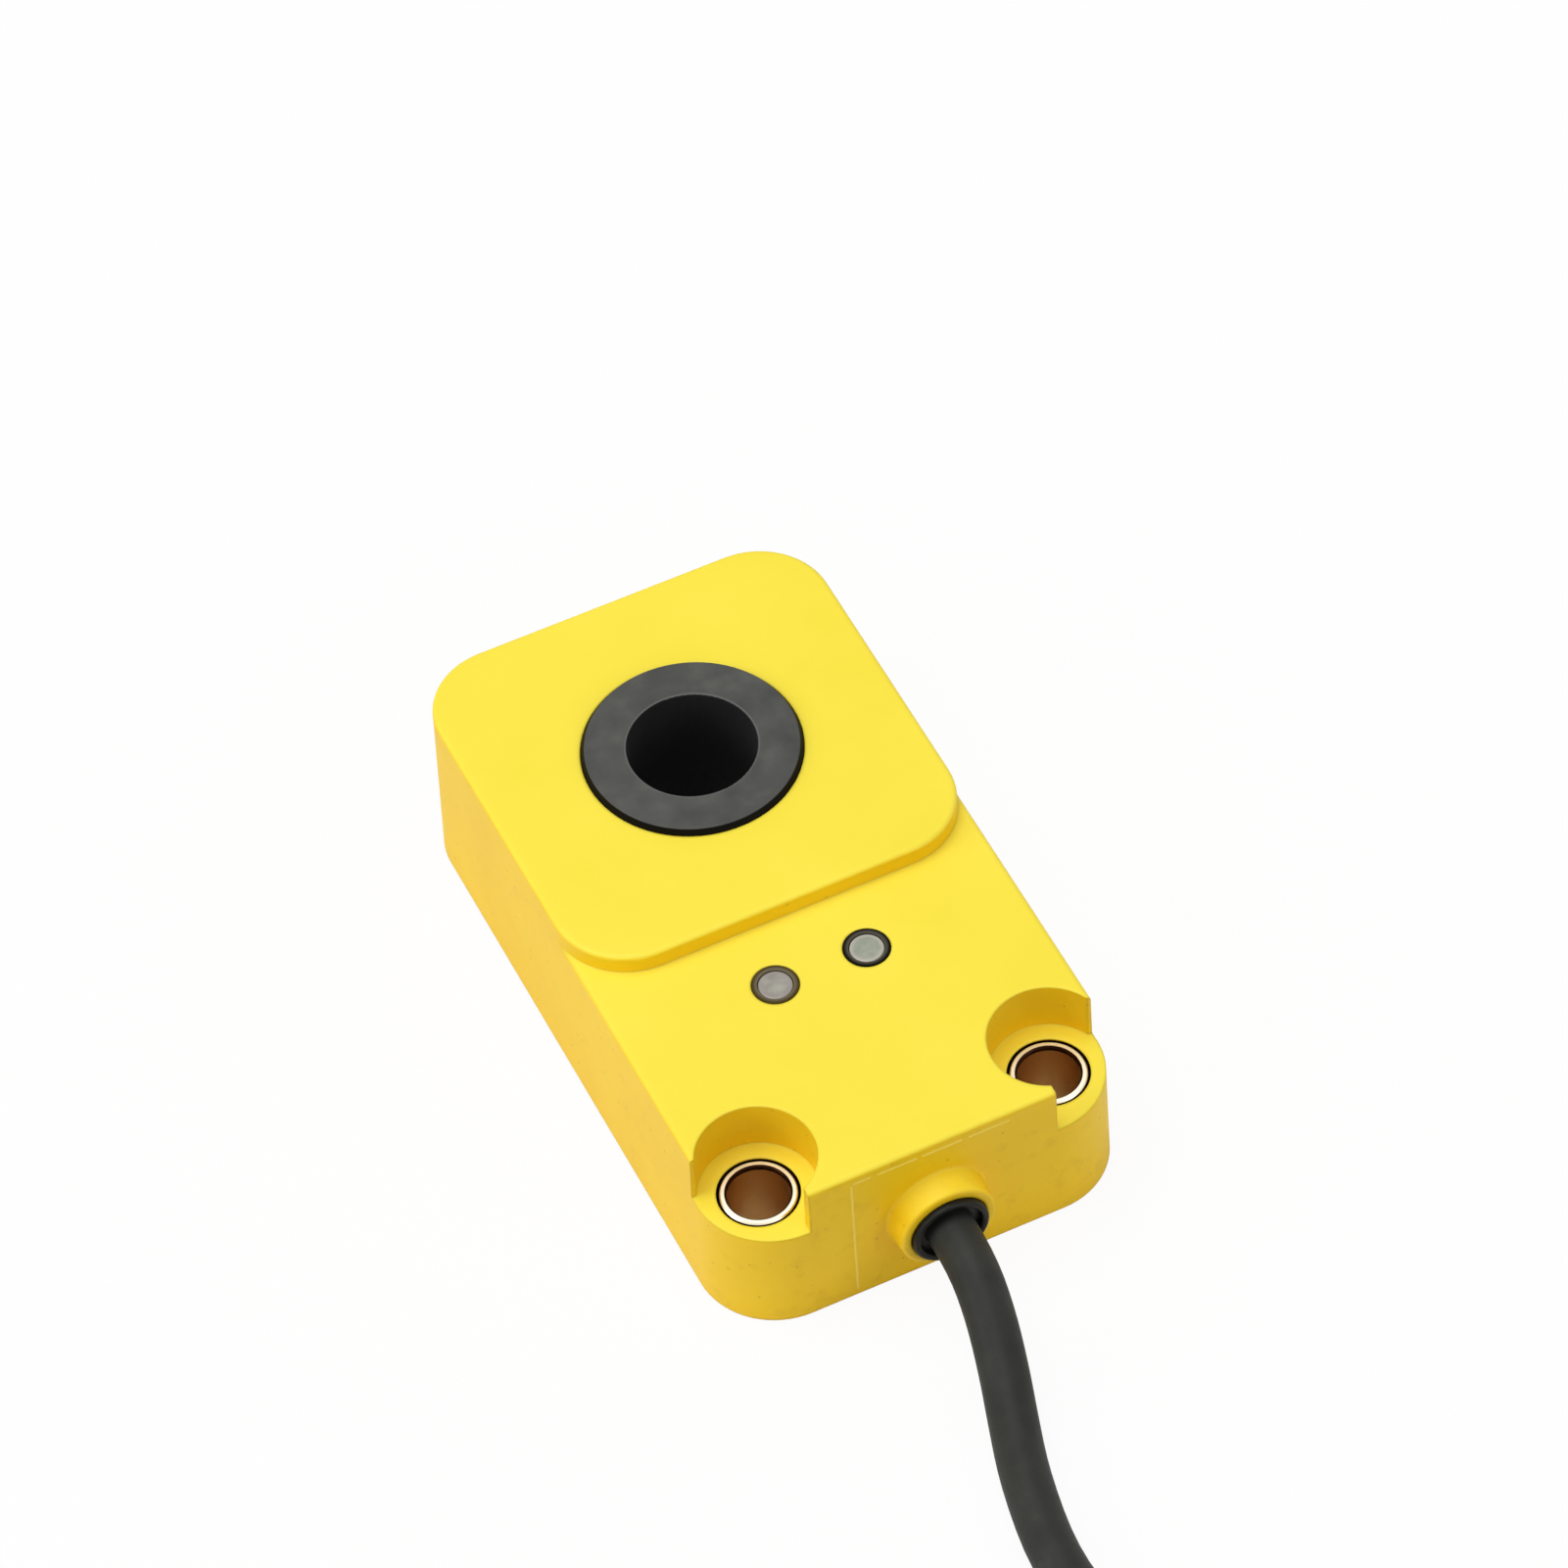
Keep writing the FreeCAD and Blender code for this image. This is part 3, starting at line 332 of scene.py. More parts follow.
def strand_mesh(before, end):
    """Twisted wires on from a core's end: wire k of a ring of radius R follows
    end + D s + R (cos f U + sin f V), f = f_k - 2 pi s / lay, with D the core's heading and
    U, V square to it; its skin lies a wire's radius round that line."""
    end = np.array(end)
    heading = end - np.array(before)
    heading /= np.linalg.norm(heading)
    side = np.cross(heading, (0, 0, 1.0))
    side /= np.linalg.norm(side)
    rise = np.cross(side, heading)
    radius = np.repeat(np.arange(len(RING_WIRES)) * 2 * WIRE, RING_WIRES)[:, None]
    phase = np.concatenate([np.arange(count) / count for count in RING_WIRES])[:, None]
    way = np.linspace(-SUNK, BARE, WIRE_STEPS)[None, :]
    turned = 2 * np.pi * (phase - way / LAY)
    lines = (end + heading * way[..., None] + radius[..., None] * (
        side * np.cos(turned)[..., None] + rise * np.sin(turned)[..., None]))
    skin = 2 * np.pi * np.arange(WIRE_SIDES) / WIRE_SIDES
    round_way = WIRE * (side * np.cos(skin)[:, None] + rise * np.sin(skin)[:, None])
    points = (lines[:, :, None, :] + round_way).reshape(-1, 3)
    index = np.arange(len(points)).reshape(len(phase), WIRE_STEPS, WIRE_SIDES)
    beside = np.roll(index, -1, axis=2)
    quads = np.stack([index[:, :-1], beside[:, :-1], beside[:, 1:], index[:, 1:]], axis=-1)
    return points, [*quads.reshape(-1, 4).tolist(), *index[:, 0].tolist(),
                    *index[:, -1, ::-1].tolist()]


# Drawn copper, untinned: bright and warm, with a faint grain 0.1 mm across.
bright_copper, tree, shader = new_finish("drawn_copper_bright", Metallic=1.0, Roughness=0.28)
places, noise = grain(tree, shader, 0.00012, 0.000003)
paint(tree, shader, add_node(tree, "ShaderNodeValToRGB", {"Fac": noise},
                             stops={0.3: "#B4683F", 0.7: "#DB9468"}))
for colour, (before, end) in STRAND_ENDS.items():
    new_piece(f"twisted_strands_{colour}", [strand_mesh(before, end)],
                             bright_copper)
    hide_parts(f"bare_strand_{colour}")


# The housing: one injection moulding of bright yellow glass-filled polyester, drafted, with
# a raised plate round the ring, a lower lamp deck, two corner recesses and a cable boss.
# The sleeves stand in it in a thin gap whose wall is painted near black as shade, and its
# corners are eased.
SLEEVE_AXES, SLEEVE_GAP, SLEEVE_TOP = (0.01075, -0.0323, 0.0), 0.00287, 0.00865
BOSS_AXIS, BOSS_ROOT = (0.0, 0.0, 0.00595), 0.0043
FRONT_WALL, DRAFT = -0.037, math.tan(math.radians(1.0))
EDGE_ROUND = 0.00032
FALLING = {"To Min": 1.0, "To Max": 0.0}  # a map range's 1 up to From Min, 0 past From Max


def facing_up(tree, low=0.25, high=0.85):
    """0 on walls and 1 on faces that look up, as the normal's rise goes from low to high."""
    normal = add_node(tree, "ShaderNodeNewGeometry").outputs["Normal"]
    parts = add_node(tree, "ShaderNodeSeparateXYZ", {"Vector": normal})
    return add_node(tree, "ShaderNodeMapRange", {
        "Value": parts.outputs["Z"], "From Min": low, "From Max": high})


def axis_distance(tree, places, axis):
    """The distance, level with the floor, from an upright axis, on either side of x = 0."""
    level = add_node(tree, "ShaderNodeVectorMath", {0: places, 1: (1.0, 1.0, 0.0)},
                     operation="MULTIPLY")
    parts = add_node(tree, "ShaderNodeSeparateXYZ", {"Vector": level})
    folded = add_node(tree, "ShaderNodeMath", {0: parts.outputs["X"]}, operation="ABSOLUTE")
    folded = add_node(tree, "ShaderNodeCombineXYZ", {"X": folded, "Y": parts.outputs["Y"]})
    return add_node(tree, "ShaderNodeVectorMath", {0: folded, 1: axis},
                    operation="DISTANCE").outputs["Value"]


# Moulded polyester from a finely spark-eroded tool: smooth and only slightly matt. The top is
# painted a paler yellow as lit, and the walls and the boss a more orange yellow as painted shade,
# which gives the edges their warm turn; the walls carry handling marks 1.6 mm across, mostly at
# the front, and dark specks of 0.2 mm.
moulding, tree, shader = new_finish("moulded_polyester_yellow", Roughness=0.44, IOR=1.55,
                                    Specular_IOR_Level=0.22)
rounded = add_node(tree, "ShaderNodeBevel", {"Radius": EDGE_ROUND}, samples=8)
places, noise = grain(tree, shader, 0.00016, 0.000006, softened=rounded)
flow = add_node(tree, "ShaderNodeTexNoise", {
    "Vector": places, "Scale": 1 / 0.0090909, "Detail": 3.0})
# Painted light: the top's paler yellow is painted lit, the walls' more orange yellow is painted
# shade.
lit_top_colour = add_node(tree, "ShaderNodeValToRGB", {"Fac": flow}, stops={0.3: "#FAE440", 0.7: "#FEE948"})
wall_shade_and_stain = add_node(tree, "ShaderNodeValToRGB", {"Fac": flow}, stops={0.3: "#F6CA12", 0.7: "#FBD21A"})
parts = add_node(tree, "ShaderNodeSeparateXYZ", {"Vector": places})
# Mask of the boss, which is painted in the walls' shade colour even where it faces up.
across = add_node(tree, "ShaderNodeVectorMath", {0: places, 1: (1.0, 0.0, 1.0)},
                  operation="MULTIPLY")
from_boss = add_node(tree, "ShaderNodeVectorMath", {0: across, 1: BOSS_AXIS},
                     operation="DISTANCE")
near_boss = add_node(tree, "ShaderNodeMapRange", {
    "Value": from_boss.outputs["Value"], "From Min": BOSS_ROOT, "From Max": BOSS_ROOT + 0.0001,
    **FALLING})
in_front = add_node(tree, "ShaderNodeMapRange", {
    "Value": parts.outputs["Y"], "From Min": FRONT_WALL + 0.0003,
    "From Max": FRONT_WALL + 0.0005, **FALLING})
shaded_boss = add_node(tree, "ShaderNodeMath", {0: near_boss, 1: in_front}, operation="MULTIPLY")
# 1 where the top is painted lit, 0 on the walls and the boss, which are painted in shade.
lit_top_mask = add_node(tree, "ShaderNodeMath", {0: shaded_boss, 1: -0.5, 2: facing_up(tree)},
              operation="MULTIPLY_ADD", use_clamp=True)
handled = add_node(tree, "ShaderNodeMapRange", {
    "Value": parts.outputs["Y"], "From Min": FRONT_WALL + 0.001, "From Max": FRONT_WALL + 0.006,
    "To Min": 0.2, "To Max": 0.07})
stain = add_node(tree, "ShaderNodeTexNoise", {
    "Vector": places, "Scale": 1 / 0.0016129, "Detail": 6.0, "Roughness": 0.66})
stain = add_node(tree, "ShaderNodeMapRange", {
    "Value": stain, "From Min": 0.54, "From Max": 0.74, "To Max": handled})
wall_shade_and_stain = add_node(tree, "ShaderNodeMixRGB", {"Fac": stain, "Color1": wall_shade_and_stain, "Color2": "#B47C08"})
skin = add_node(tree, "ShaderNodeMixRGB", {"Fac": lit_top_mask, "Color1": wall_shade_and_stain, "Color2": lit_top_colour})
spots = add_node(tree, "ShaderNodeTexVoronoi", {"Vector": places, "Scale": 1 / 0.00125})
speck = add_node(tree, "ShaderNodeMapRange", {
    "Value": spots, "From Min": 0.05, "From Max": 0.11, "To Min": 0.4, "To Max": 0.0})
speck = add_node(tree, "ShaderNodeMath", {0: speck, 1: lit_top_mask}, operation="SUBTRACT", use_clamp=True)
skin = add_node(tree, "ShaderNodeMixRGB", {"Fac": speck, "Color1": skin, "Color2": "#A87A1C"})
# Painted shade: the hole's wall round each sleeve, below its top, is painted near black.
ring = add_node(tree, "ShaderNodeMapRange", {
    "Value": axis_distance(tree, places, SLEEVE_AXES), "From Min": SLEEVE_GAP,
    "From Max": SLEEVE_GAP + 0.00002, **FALLING})
deep = add_node(tree, "ShaderNodeMapRange", {
    "Value": parts.outputs["Z"], "From Min": SLEEVE_TOP - 0.00013,
    "From Max": SLEEVE_TOP - 0.00005, **FALLING})
gap_shade_mask = add_node(tree, "ShaderNodeMath", {0: ring, 1: deep}, operation="MULTIPLY")
paint(tree, shader, add_node(tree, "ShaderNodeMixRGB", {
    "Fac": gap_shade_mask, "Color1": skin, "Color2": "#140E06"}))
wear("housing", finish=moulding)

# Witness lines where the tool's front insert met its frame: hair-thin raised seams of the
# same moulding, each given by the X and Z of its two ends on the front wall.
SEAM_WIDTH, SEAM_HEIGHT = 0.00018, 0.00005
SEAM_SECTION = np.array([(-0.5, -0.4), (-0.5, 0.0), (-0.3, 0.75), (0.0, 1.0), (0.3, 0.75),
                         (0.5, 0.0), (0.5, -0.4)])
SEAMS = ((-0.0060, 0.0006, -0.0060, 0.0117), (-0.0059, 0.0118, -0.0046, 0.0118),
         (-0.0041, 0.0118, -0.0012, 0.0118), (-0.0008, 0.0118, 0.0021, 0.0118),
         (0.0026, 0.0118, 0.0056, 0.0118))


def seam_mesh(x0, z0, x1, z1):
    """A half-round ridge on the front wall, y = z tan(draft) + front, between two points:
    its section is sunk at the sides and rises to its height along the middle."""
    ends = np.array([(x0, z0), (x1, z1)])
    way = (ends[1] - ends[0]) / np.linalg.norm(ends[1] - ends[0])
    across = np.array((-way[1], way[0])) * SEAM_WIDTH
    flat = ends[:, None, :] + SEAM_SECTION[None, :, :1] * across
    depth = flat[..., 1] * DRAFT + FRONT_WALL - SEAM_SECTION[:, 1] * SEAM_HEIGHT
    points = np.stack([flat[..., 0], depth, flat[..., 1]], axis=-1).reshape(-1, 3)
    index = np.arange(len(points)).reshape(2, -1)
    beside = np.roll(index, -1, axis=1)
    sides = np.stack([index[0], beside[0], beside[1], index[1]], axis=1)
    return points, [*sides.tolist(), index[0].tolist(), index[1, ::-1].tolist()]


# The same polyester, drawn paler as a painted highlight along each seam's crest.
seam_highlight, tree, shader = new_finish("moulding_seam_painted_highlight", Roughness=0.45, IOR=1.55,
                                Specular_IOR_Level=0.2)
places, noise = grain(tree, shader, 0.0002, 0.000004)
# Painted highlight: the seam's paler yellow.
paint(tree, shader, add_node(tree, "ShaderNodeValToRGB", {"Fac": noise},
                             stops={0.3: "#FFDC4C", 0.7: "#FFE468"}))
new_piece("mould_seams", [seam_mesh(*ends) for ends in SEAMS], seam_highlight)


# The bottom cover: a flat lid of the same yellow polyester, welded into the housing's rim.
# It shows only from below, with scuffs 1.1 mm across and a broad, faint swirl from its gate.
lid, tree, shader = new_finish("moulded_polyester_lid", Roughness=0.5, IOR=1.55,
                               Specular_IOR_Level=0.3)
places, noise = grain(tree, shader, 0.0002, 0.000008)
swirl = add_node(tree, "ShaderNodeTexNoise", {
    "Vector": places, "Scale": 1 / 0.0166667, "Detail": 3.0, "Distortion": 1.5})
scuff = add_node(tree, "ShaderNodeTexNoise", {
    "Vector": places, "Scale": 1 / 0.0011111, "Detail": 4.0})
face = add_node(tree, "ShaderNodeValToRGB", {"Fac": swirl}, stops={0.3: "#EFC91F", 0.7: "#F6D92A"})
rubbed = add_node(tree, "ShaderNodeMapRange", {
    "Value": scuff, "From Min": 0.62, "From Max": 0.8, "To Max": 0.35})
paint(tree, shader, add_node(tree, "ShaderNodeMixRGB", {
    "Fac": rubbed, "Color1": face, "Color2": "#C9A84A"}))
wear("base_cover", finish=lid)


# The liner of the sensing ring: a flanged tube of black glass-filled nylon, pressed into
# the housing. Its flange is matt, with rub marks of 2.4 and 8 mm, and its side is painted near
# black as shade; its bore was cored by a polished pin and is painted dark grey as shade, with
# a pale ring painted at its edge as a highlight.
BORE = 0.0045
nylon, tree, shader = new_finish("moulded_nylon_black", Roughness=0.55, IOR=1.53)
places, noise = grain(tree, shader, 0.00018, 0.000014)
rub = add_node(tree, "ShaderNodeTexNoise", {
    "Vector": places, "Scale": 1 / 0.002381, "Detail": 4.0})
smudge = add_node(tree, "ShaderNodeTexNoise", {
    "Vector": places, "Scale": 1 / 0.0076923, "Detail": 2.0})
matt = add_node(tree, "ShaderNodeValToRGB", {"Fac": rub},
                stops={0.3: "#353533", 0.55: "#434340", 0.8: "#575752"})
pale = add_node(tree, "ShaderNodeMapRange", {
    "Value": smudge, "From Min": 0.45, "From Max": 0.7, "To Max": 0.28})
matt = add_node(tree, "ShaderNodeMixRGB", {"Fac": pale, "Color1": matt, "Color2": "#5E5E5A"})
# Painted shade: the flange's side and other walls are painted near black; the top keeps its matt
# colour.
lit_top_mask = facing_up(tree, 0.6, 0.95)
matt = add_node(tree, "ShaderNodeMixRGB", {"Fac": lit_top_mask, "Color1": "#0A0704", "Color2": matt})
gloss = add_node(tree, "ShaderNodeMapRange", {"Value": lit_top_mask, "To Min": 0.06, "To Max": 0.3})
tree.links.new(gloss.outputs[0], shader.inputs["Specular IOR Level"])
reach = axis_distance(tree, places, (0.0, 0.0, 0.0))
# Painted highlight: a paler ring at the bore's edge.
painted_lip_ring = add_node(tree, "ShaderNodeMapRange", {
    "Value": reach, "From Min": BORE + 0.0001, "From Max": BORE + 0.00018, **FALLING})
matt = add_node(tree, "ShaderNodeMixRGB", {"Fac": painted_lip_ring, "Color1": matt, "Color2": "#5A5A57"})
# Painted shade: the bore's wall is painted dark grey.
bore_shade_mask = add_node(tree, "ShaderNodeMapRange", {
    "Value": reach, "From Min": BORE + 0.00001, "From Max": BORE + 0.00005, **FALLING})
paint(tree, shader, add_node(tree, "ShaderNodeMixRGB", {
    "Fac": bore_shade_mask, "Color1": matt, "Color2": "#2A2A2A"}))
wear("ring_sleeve", finish=nylon)


# The two sleeves that carry the screws' load: brass tube, turned, with a faced rim painted
# bright as lit and a bore painted dull brown as shade with a painted reflection of the yellow
# round it; the outer wall and a band at the top of the bore are painted near black as shade.
SLEEVE_BORE, SLEEVE_OUTSIDE = 0.00215, 0.00265
brass, tree, shader = new_finish("turned_brass", Metallic=1.0, Roughness=0.32)
places, noise = grain(tree, shader, 0.00006, 0.000004)
# Painted light: the rim's pale ramp is painted lit; the bore's brown ramp is painted shade and
# reflected yellow.
lit_rim = add_node(tree, "ShaderNodeValToRGB", {"Fac": noise}, stops={0.3: "#EFE6CC", 0.7: "#FDF8E8"})
bore_shade_and_reflection = add_node(tree, "ShaderNodeValToRGB", {"Fac": noise}, stops={0.3: "#D3A86C", 0.7: "#E2BC7E"})
face = add_node(tree, "ShaderNodeMixRGB", {
    "Fac": facing_up(tree), "Color1": bore_shade_and_reflection, "Color2": lit_rim})
reach = axis_distance(tree, places, SLEEVE_AXES)
parts = add_node(tree, "ShaderNodeSeparateXYZ", {"Vector": places})
# Painted shade: a dark band at the top of the bore.
low = add_node(tree, "ShaderNodeMapRange", {
    "Value": parts.outputs["Z"], "From Min": SLEEVE_TOP - 0.00042,
    "From Max": SLEEVE_TOP - 0.00034, **FALLING})
inner = add_node(tree, "ShaderNodeMapRange", {
    "Value": reach, "From Min": SLEEVE_BORE + 0.00011, "From Max": SLEEVE_BORE + 0.00015,
    **FALLING})
painted_lip_ring = add_node(tree, "ShaderNodeMath", {0: inner, 1: low}, operation="SUBTRACT", use_clamp=True)
# Painted shade: the outer wall is painted near black.
within = add_node(tree, "ShaderNodeMapRange", {
    "Value": reach, "From Min": SLEEVE_OUTSIDE - 0.00004, "From Max": SLEEVE_OUTSIDE - 0.00002,
    **FALLING})
face = add_node(tree, "ShaderNodeMixRGB", {"Fac": within, "Color1": "#1C0F08", "Color2": face})
paint(tree, shader, add_node(tree, "ShaderNodeMixRGB", {
    "Fac": painted_lip_ring, "Color1": face, "Color2": "#2A150B"}))
wear("mounting_sleeve_left", "mounting_sleeve_right", finish=brass)


# The status lamps: a black bezel tube round a clear light pipe with a milky face, over a
# small light-emitting chip on the board. The left bezel is greyer, the right one crisp; each
# bezel is painted darker towards its outside as shade round it, and each window's rim is
# painted pale as a highlight.
LAMP_AXES = (0.0034, -0.02, 0.0)
# Per lamp: the bezel's outside, painted darker as shade round it, its inside, the window's rim,
# painted pale as a highlight, and its milky middle.
LAMPS = {  # outside and inside of the bezel, rim of the window, and its milky middle
    "left": ("#4A3E1E", "#746B56", "#9A9088", {0.3: "#85817A", 0.7: "#A5A196"}),
    "right": ("#0B0A06", "#575349", "#B9B4A6", {0.3: "#858B7C", 0.7: "#A3A896"})}
for side, (outer_shade, inside, edge, milk) in LAMPS.items():
    bezel, tree, shader = new_finish(f"moulded_bezel_black_{side}", Roughness=0.5,
                                     Specular_IOR_Level=0.04)
    places, noise = grain(tree, shader, 0.0001, 0.000004)
    # Painted shade: the bezel darkens towards its outside.
    inner = add_node(tree, "ShaderNodeMapRange", {
        "Value": axis_distance(tree, places, LAMP_AXES), "From Min": 0.00128,
        "From Max": 0.00152, **FALLING})
    paint(tree, shader, add_node(tree, "ShaderNodeMixRGB", {
        "Fac": inner, "Color1": outer_shade, "Color2": inside}))
    wear(f"lamp_bezel_{side}", finish=bezel)
    window, tree, shader = new_finish(f"milky_polycarbonate_{side}", Roughness=0.22, IOR=1.585)
    places, noise = grain(tree, shader, 0.0005, 0.00001)
    cloud = add_node(tree, "ShaderNodeTexNoise", {
        "Vector": places, "Scale": 1 / 0.0011111, "Detail": 2.0})
    milky = add_node(tree, "ShaderNodeValToRGB", {"Fac": cloud}, stops=milk)
    # Painted highlight: the window's rim outside its middle is paler.
    middle = add_node(tree, "ShaderNodeMapRange", {
        "Value": axis_distance(tree, places, LAMP_AXES), "From Min": 0.00082,
        "From Max": 0.00114, **FALLING})
    paint(tree, shader, add_node(tree, "ShaderNodeMixRGB", {
        "Fac": middle, "Color1": edge, "Color2": milky}))
    wear(f"lamp_window_{side}", finish=window)
chip, tree, shader = new_finish("clear_epoxy_over_chip", Roughness=0.15, IOR=1.5)
places, noise = grain(tree, shader, 0.0003, 0.000003)
paint(tree, shader, add_node(tree, "ShaderNodeValToRGB", {"Fac": noise},
                             stops={0.3: "#E9E2B4", 0.7: "#F4EFC9"}))
wear("lamp_chip_left", "lamp_chip_right", finish=chip)


# The grommet that seals the cable in the boss: black thermoplastic rubber, moulded round
# the sheath. It is satin and close to black, so the cable stands off it.
rubber, tree, shader = new_finish("moulded_rubber_black", Roughness=0.42, IOR=1.52,
                                  Specular_IOR_Level=0.2)
places, noise = grain(tree, shader, 0.0003, 0.000008)
paint(tree, shader, add_node(tree, "ShaderNodeValToRGB", {"Fac": noise},
                             stops={0.3: "#090907", 0.7: "#11110D"}))
wear("cable_grommet", finish=rubber)

# The crimp ring on the sheath inside: nickel-plated steel strip, rolled bright and pressed
# round the cable behind the grommet, with a faint grain from rolling.
crimp, tree, shader = new_finish("plated_steel_crimp", Metallic=1.0, Roughness=0.27)
places, noise = grain(tree, shader, 0.00008, 0.000003)
paint(tree, shader, add_node(tree, "ShaderNodeValToRGB", {"Fac": noise},
                             stops={0.3: "#B9B7B0", 0.7: "#D2D0CA"}))
wear("cable_clamp", finish=crimp)


# The coil assembly round the liner: a cream polyester spool, wound with enamelled copper
# wire in even layers, inside a slotted ring of dark pressed ferrite.
spool, tree, shader = new_finish("moulded_spool_cream", Roughness=0.5, IOR=1.55)
places, noise = grain(tree, shader, 0.0002, 0.000006)
paint(tree, shader, add_node(tree, "ShaderNodeValToRGB", {"Fac": noise},
                             stops={0.3: "#DDD3B4", 0.7: "#EAE2C8"}))
wear("coil_former", finish=spool)

# Enamelled wire, wound: red-brown metal in fine even ridges, one to a wire. A wave texture's
# bands lie 0.314 / scale apart.
WIRE_PITCH, WIRE_RIDGE = 0.00022, 0.00008
winding, tree, shader = new_finish("enamelled_copper_winding", Metallic=1.0, Roughness=0.3)
places = add_node(tree, "ShaderNodeTexCoord").outputs["Object"]
bands = add_node(tree, "ShaderNodeTexWave", {
    "Vector": places, "Scale": 0.314 / WIRE_PITCH, "Distortion": 0.4}, bands_direction="Z")
bump = add_node(tree, "ShaderNodeBump", {"Height": bands.outputs["Fac"], "Distance": WIRE_RIDGE})
tree.links.new(bump.outputs["Normal"], shader.inputs["Normal"])
# Painted shade: the ramp follows the ridges, darker in the hollows between the wires and paler on
# their crests.
paint(tree, shader, add_node(tree, "ShaderNodeValToRGB", {"Fac": bands.outputs["Fac"]},
                             stops={0.1: "#7A3517", 0.7: "#C06A34"}))
wear("coil_winding", "coil_lead_left", "coil_lead_right", finish=winding)

# Ferrite, pressed and fired: dark grey, dull and slightly pitted.
ferrite, tree, shader = new_finish("pressed_ferrite", Roughness=0.62, IOR=1.9)
places, noise = grain(tree, shader, 0.00012, 0.00002)
paint(tree, shader, add_node(tree, "ShaderNodeValToRGB", {"Fac": noise},
                             stops={0.3: "#232326", 0.7: "#37373B"}))
wear("shield_ring", finish=ferrite)


# The circuit board: glass laminate under green solder mask, with its 1.7 mm weave just
# showing and a paler sawn edge. It stands on the cover's pegs and the housing's posts.
board, tree, shader = new_finish("masked_glass_laminate", Roughness=0.35, IOR=1.5)
places = add_node(tree, "ShaderNodeTexCoord").outputs["Object"]
weave = add_node(tree, "ShaderNodeTexBrick", {
    "Vector": places, "Scale": 1 / 0.0016667, "Mortar Size": 0.03, "Color1": (1, 1, 1, 1),
    "Color2": (0.6, 0.6, 0.6, 1), "Mortar": (0, 0, 0, 1)})
bump = add_node(tree, "ShaderNodeBump", {"Height": weave, "Distance": 0.00001})
tree.links.new(bump.outputs["Normal"], shader.inputs["Normal"])
mask = add_node(tree, "ShaderNodeValToRGB", {"Fac": weave}, stops={0.3: "#0E4A2C", 0.7: "#14603A"})
paint(tree, shader, add_node(tree, "ShaderNodeMixRGB", {
    "Fac": facing_up(tree), "Color1": "#A9A46A", "Color2": mask}))
wear("circuit_board", finish=board)

# The parts soldered to the board: black epoxy packages with tinned legs, ceramic parts with
# tinned ends. Along its long axis, a part is body as far as a half length from its middle.
EPOXY, RESISTOR = {0.3: "#1B1B1C", 0.7: "#29292A"}, {0.3: "#161616", 0.7: "#232323"}
PACKAGES = (  # name, long axis, its middle along it, half length of the body, the body's look
    ("oscillator_chip", "X", -0.008, 0.00195, EPOXY),
    ("output_transistor", "X", 0.0082, 0.0015, EPOXY),
    ("protection_diode", "X", 0.0086, 0.0011, {0.3: "#1D1D1E", 0.7: "#2A2A2B"}),
    ("supply_capacitor", "X", -0.0084, 0.0013, {0.3: "#A9855A", 0.7: "#BB9668"}),
    ("tuning_capacitor", "X", 0.0, 0.0007, {0.3: "#B08D62", 0.7: "#C39F73"}),
    ("gain_resistor", "X", -0.0036, 0.0007, RESISTOR),
    ("output_resistor", "X", 0.0040, 0.0007, RESISTOR),
    ("lamp_resistor", "Y", -0.0206, 0.0007, RESISTOR))
for name, axis, middle, half, shades in PACKAGES:
    package, tree, shader = new_finish(f"soldered_{name}", Roughness=0.45, IOR=1.55)
    places, noise = grain(tree, shader, 0.00015, 0.000006)
    parts = add_node(tree, "ShaderNodeSeparateXYZ", {"Vector": places})
    away = add_node(tree, "ShaderNodeMath", {0: parts.outputs[axis], 1: middle},
                    operation="SUBTRACT")
    away = add_node(tree, "ShaderNodeMath", {0: away}, operation="ABSOLUTE")
    body = add_node(tree, "ShaderNodeMapRange", {
        "Value": away, "From Min": half, "From Max": half + 0.00002, **FALLING})
    tin = add_node(tree, "ShaderNodeValToRGB", {"Fac": noise},
                   stops={0.3: "#B8B8B4", 0.7: "#D6D6D2"})
    case = add_node(tree, "ShaderNodeValToRGB", {"Fac": noise}, stops=shades)
    paint(tree, shader, add_node(tree, "ShaderNodeMixRGB", {
        "Fac": body, "Color1": tin, "Color2": case}))
    shine = add_node(tree, "ShaderNodeMath", {0: 1.0, 1: body}, operation="SUBTRACT")
    tree.links.new(shine.outputs[0], shader.inputs["Metallic"])
    wear(name, finish=package)


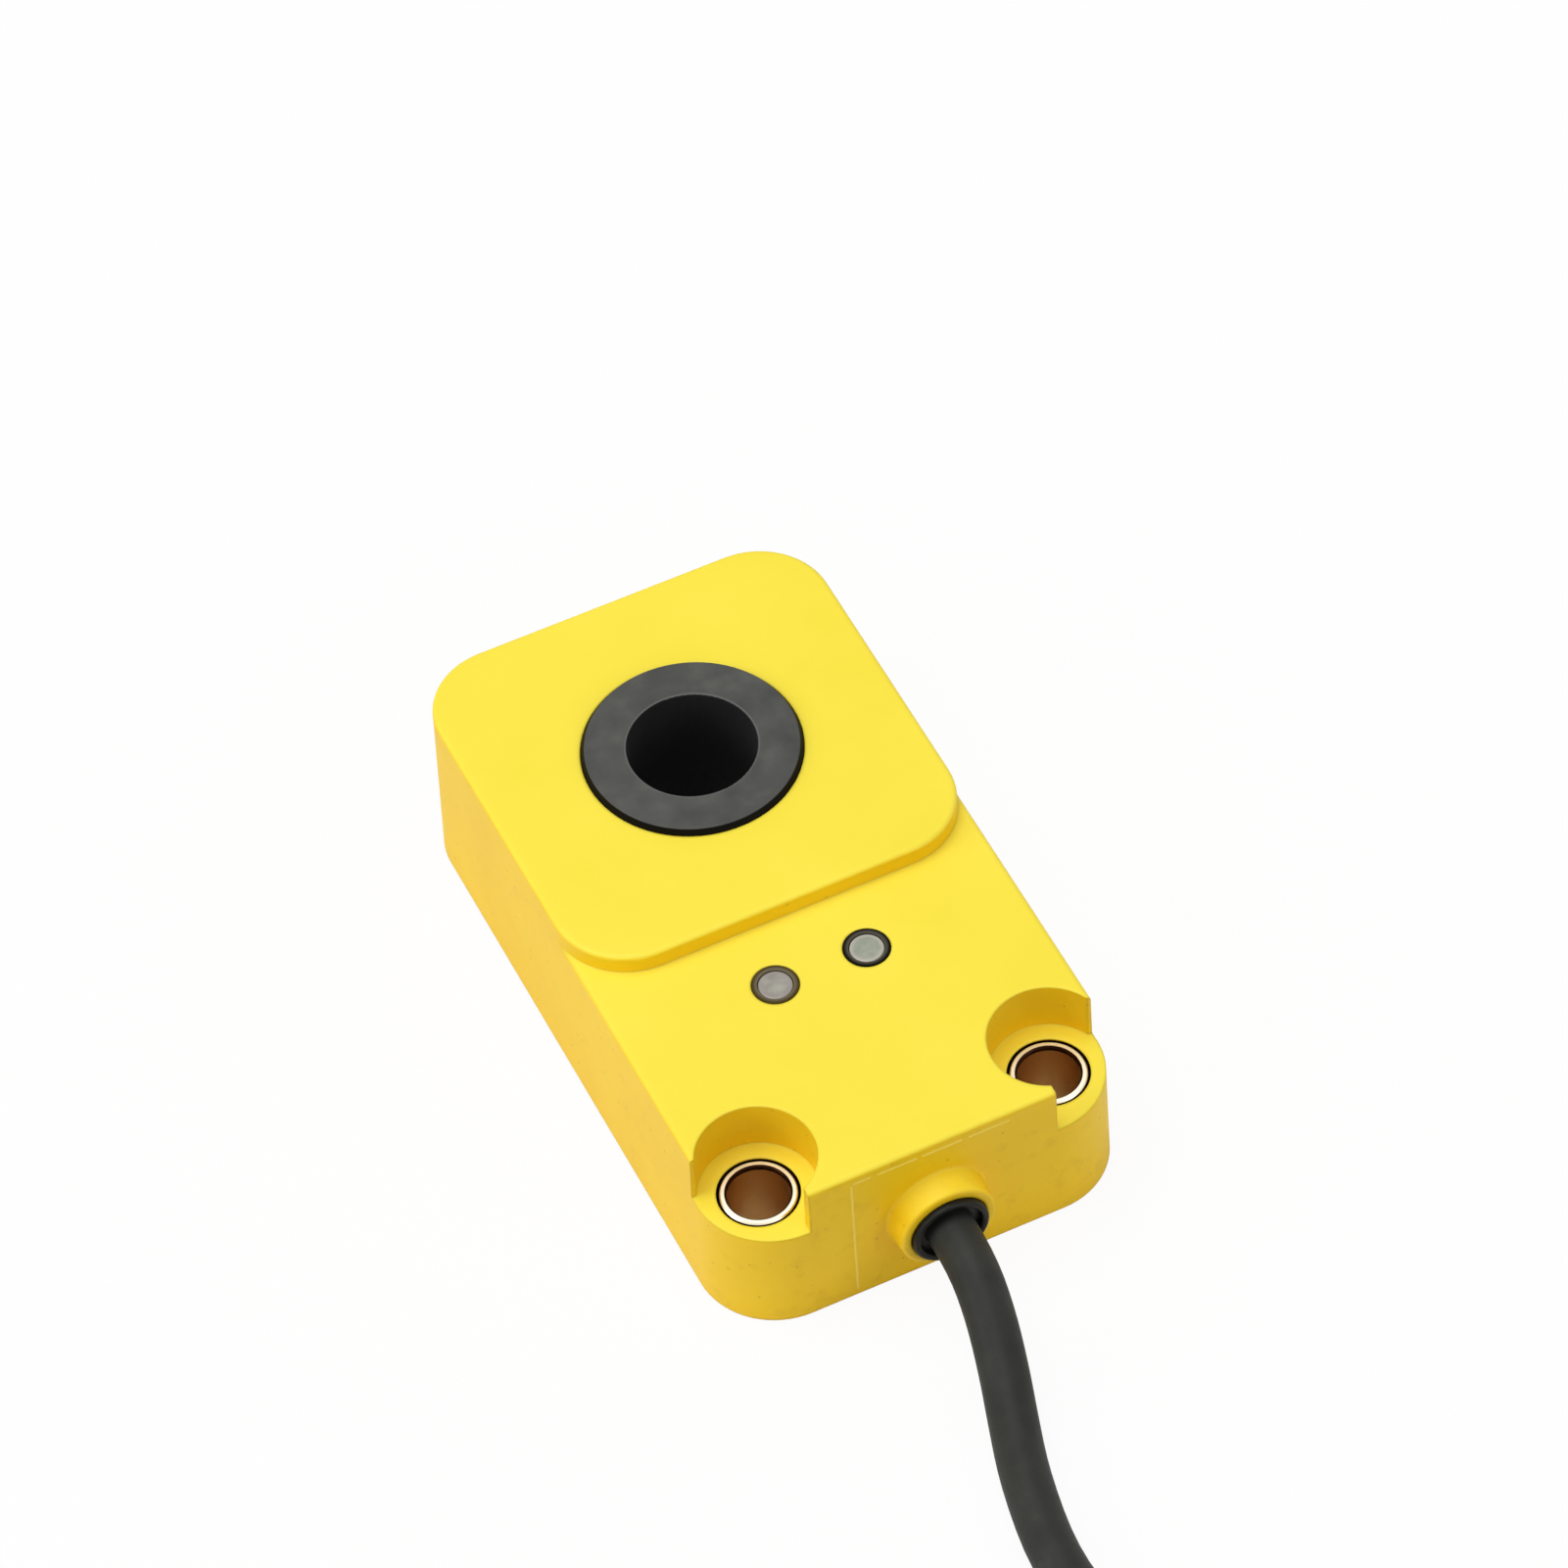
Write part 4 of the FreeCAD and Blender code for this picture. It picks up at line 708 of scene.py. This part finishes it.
# Pale floor, soft lamps and a plain white surround. To the camera the floor glows white,
# apart from the share that keeps the sensor's shadow.
FLOOR_HALF, FLOOR_Z, FLOOR_GLOW = 3.0, -0.0001, 0.93
floor_mesh = bpy.data.meshes.new("studio_floor")
corners = np.array(((-1, -1, 0), (1, -1, 0), (1, 1, 0), (-1, 1, 0))) * FLOOR_HALF
floor_mesh.from_pydata((corners + (0, 0, FLOOR_Z)).tolist(), [], [(0, 1, 2, 3)])
floor = bpy.data.objects.new("studio_floor", floor_mesh)
bpy.context.scene.collection.objects.link(floor)
paper, tree, shader = new_finish("studio_paper", Roughness=0.9, Base_Color=linear("#F4F4F2"))
rays = add_node(tree, "ShaderNodeLightPath")
seen = add_node(tree, "ShaderNodeMath", {0: rays.outputs["Is Camera Ray"], 1: FLOOR_GLOW},
                operation="MULTIPLY")
white = add_node(tree, "ShaderNodeEmission", {"Color": "#FFFFFF", "Strength": 1.0})
blend = add_node(tree, "ShaderNodeMixShader", {0: seen, 1: shader, 2: white})
tree.links.new(blend.outputs[0], tree.nodes["Material Output"].inputs["Surface"])
floor.data.materials.append(paper)


def soft_lamp(name, place, size, power):
    """A square area lamp at a place, turned to face the sensor."""
    lamp = bpy.data.lights.new(name, "AREA")
    lamp.shape, lamp.size, lamp.energy = "SQUARE", size, power
    item = bpy.data.objects.new(name, lamp)
    place = Vector(place)
    turned = place.to_track_quat("Z", "Y").to_matrix().to_4x4()
    item.matrix_world = Matrix.Translation(place) @ turned
    bpy.context.scene.collection.objects.link(item)


soft_lamp("overhead_softbox", (-0.15, 0.1, 0.93), 0.7, 5.0)
soft_lamp("left_softbox", (-0.9, 0.1, 0.5), 0.5, 2.7)
soft_lamp("front_softbox", (0.5, -0.85, 0.42), 0.5, 1.8)

surround = bpy.data.worlds.new("white_surround")
bpy.context.scene.world = surround
surround.use_nodes = True
tree = surround.node_tree
tree.nodes.clear()
rays = add_node(tree, "ShaderNodeLightPath")
plain = add_node(tree, "ShaderNodeMath", {
    0: rays.outputs["Is Camera Ray"], 1: rays.outputs["Is Glossy Ray"]}, operation="MAXIMUM")
plain = add_node(tree, "ShaderNodeMath", {
    0: plain, 1: rays.outputs["Is Transmission Ray"]}, operation="MAXIMUM")
strength = add_node(tree, "ShaderNodeMapRange", {"Value": plain, "To Min": 0.35, "To Max": 1.0})
glow = add_node(tree, "ShaderNodeBackground", {"Color": "#FFFFFF", "Strength": strength})
add_node(tree, "ShaderNodeOutputWorld", {"Surface": glow})

bpy.context.scene.view_settings.view_transform = "Standard"
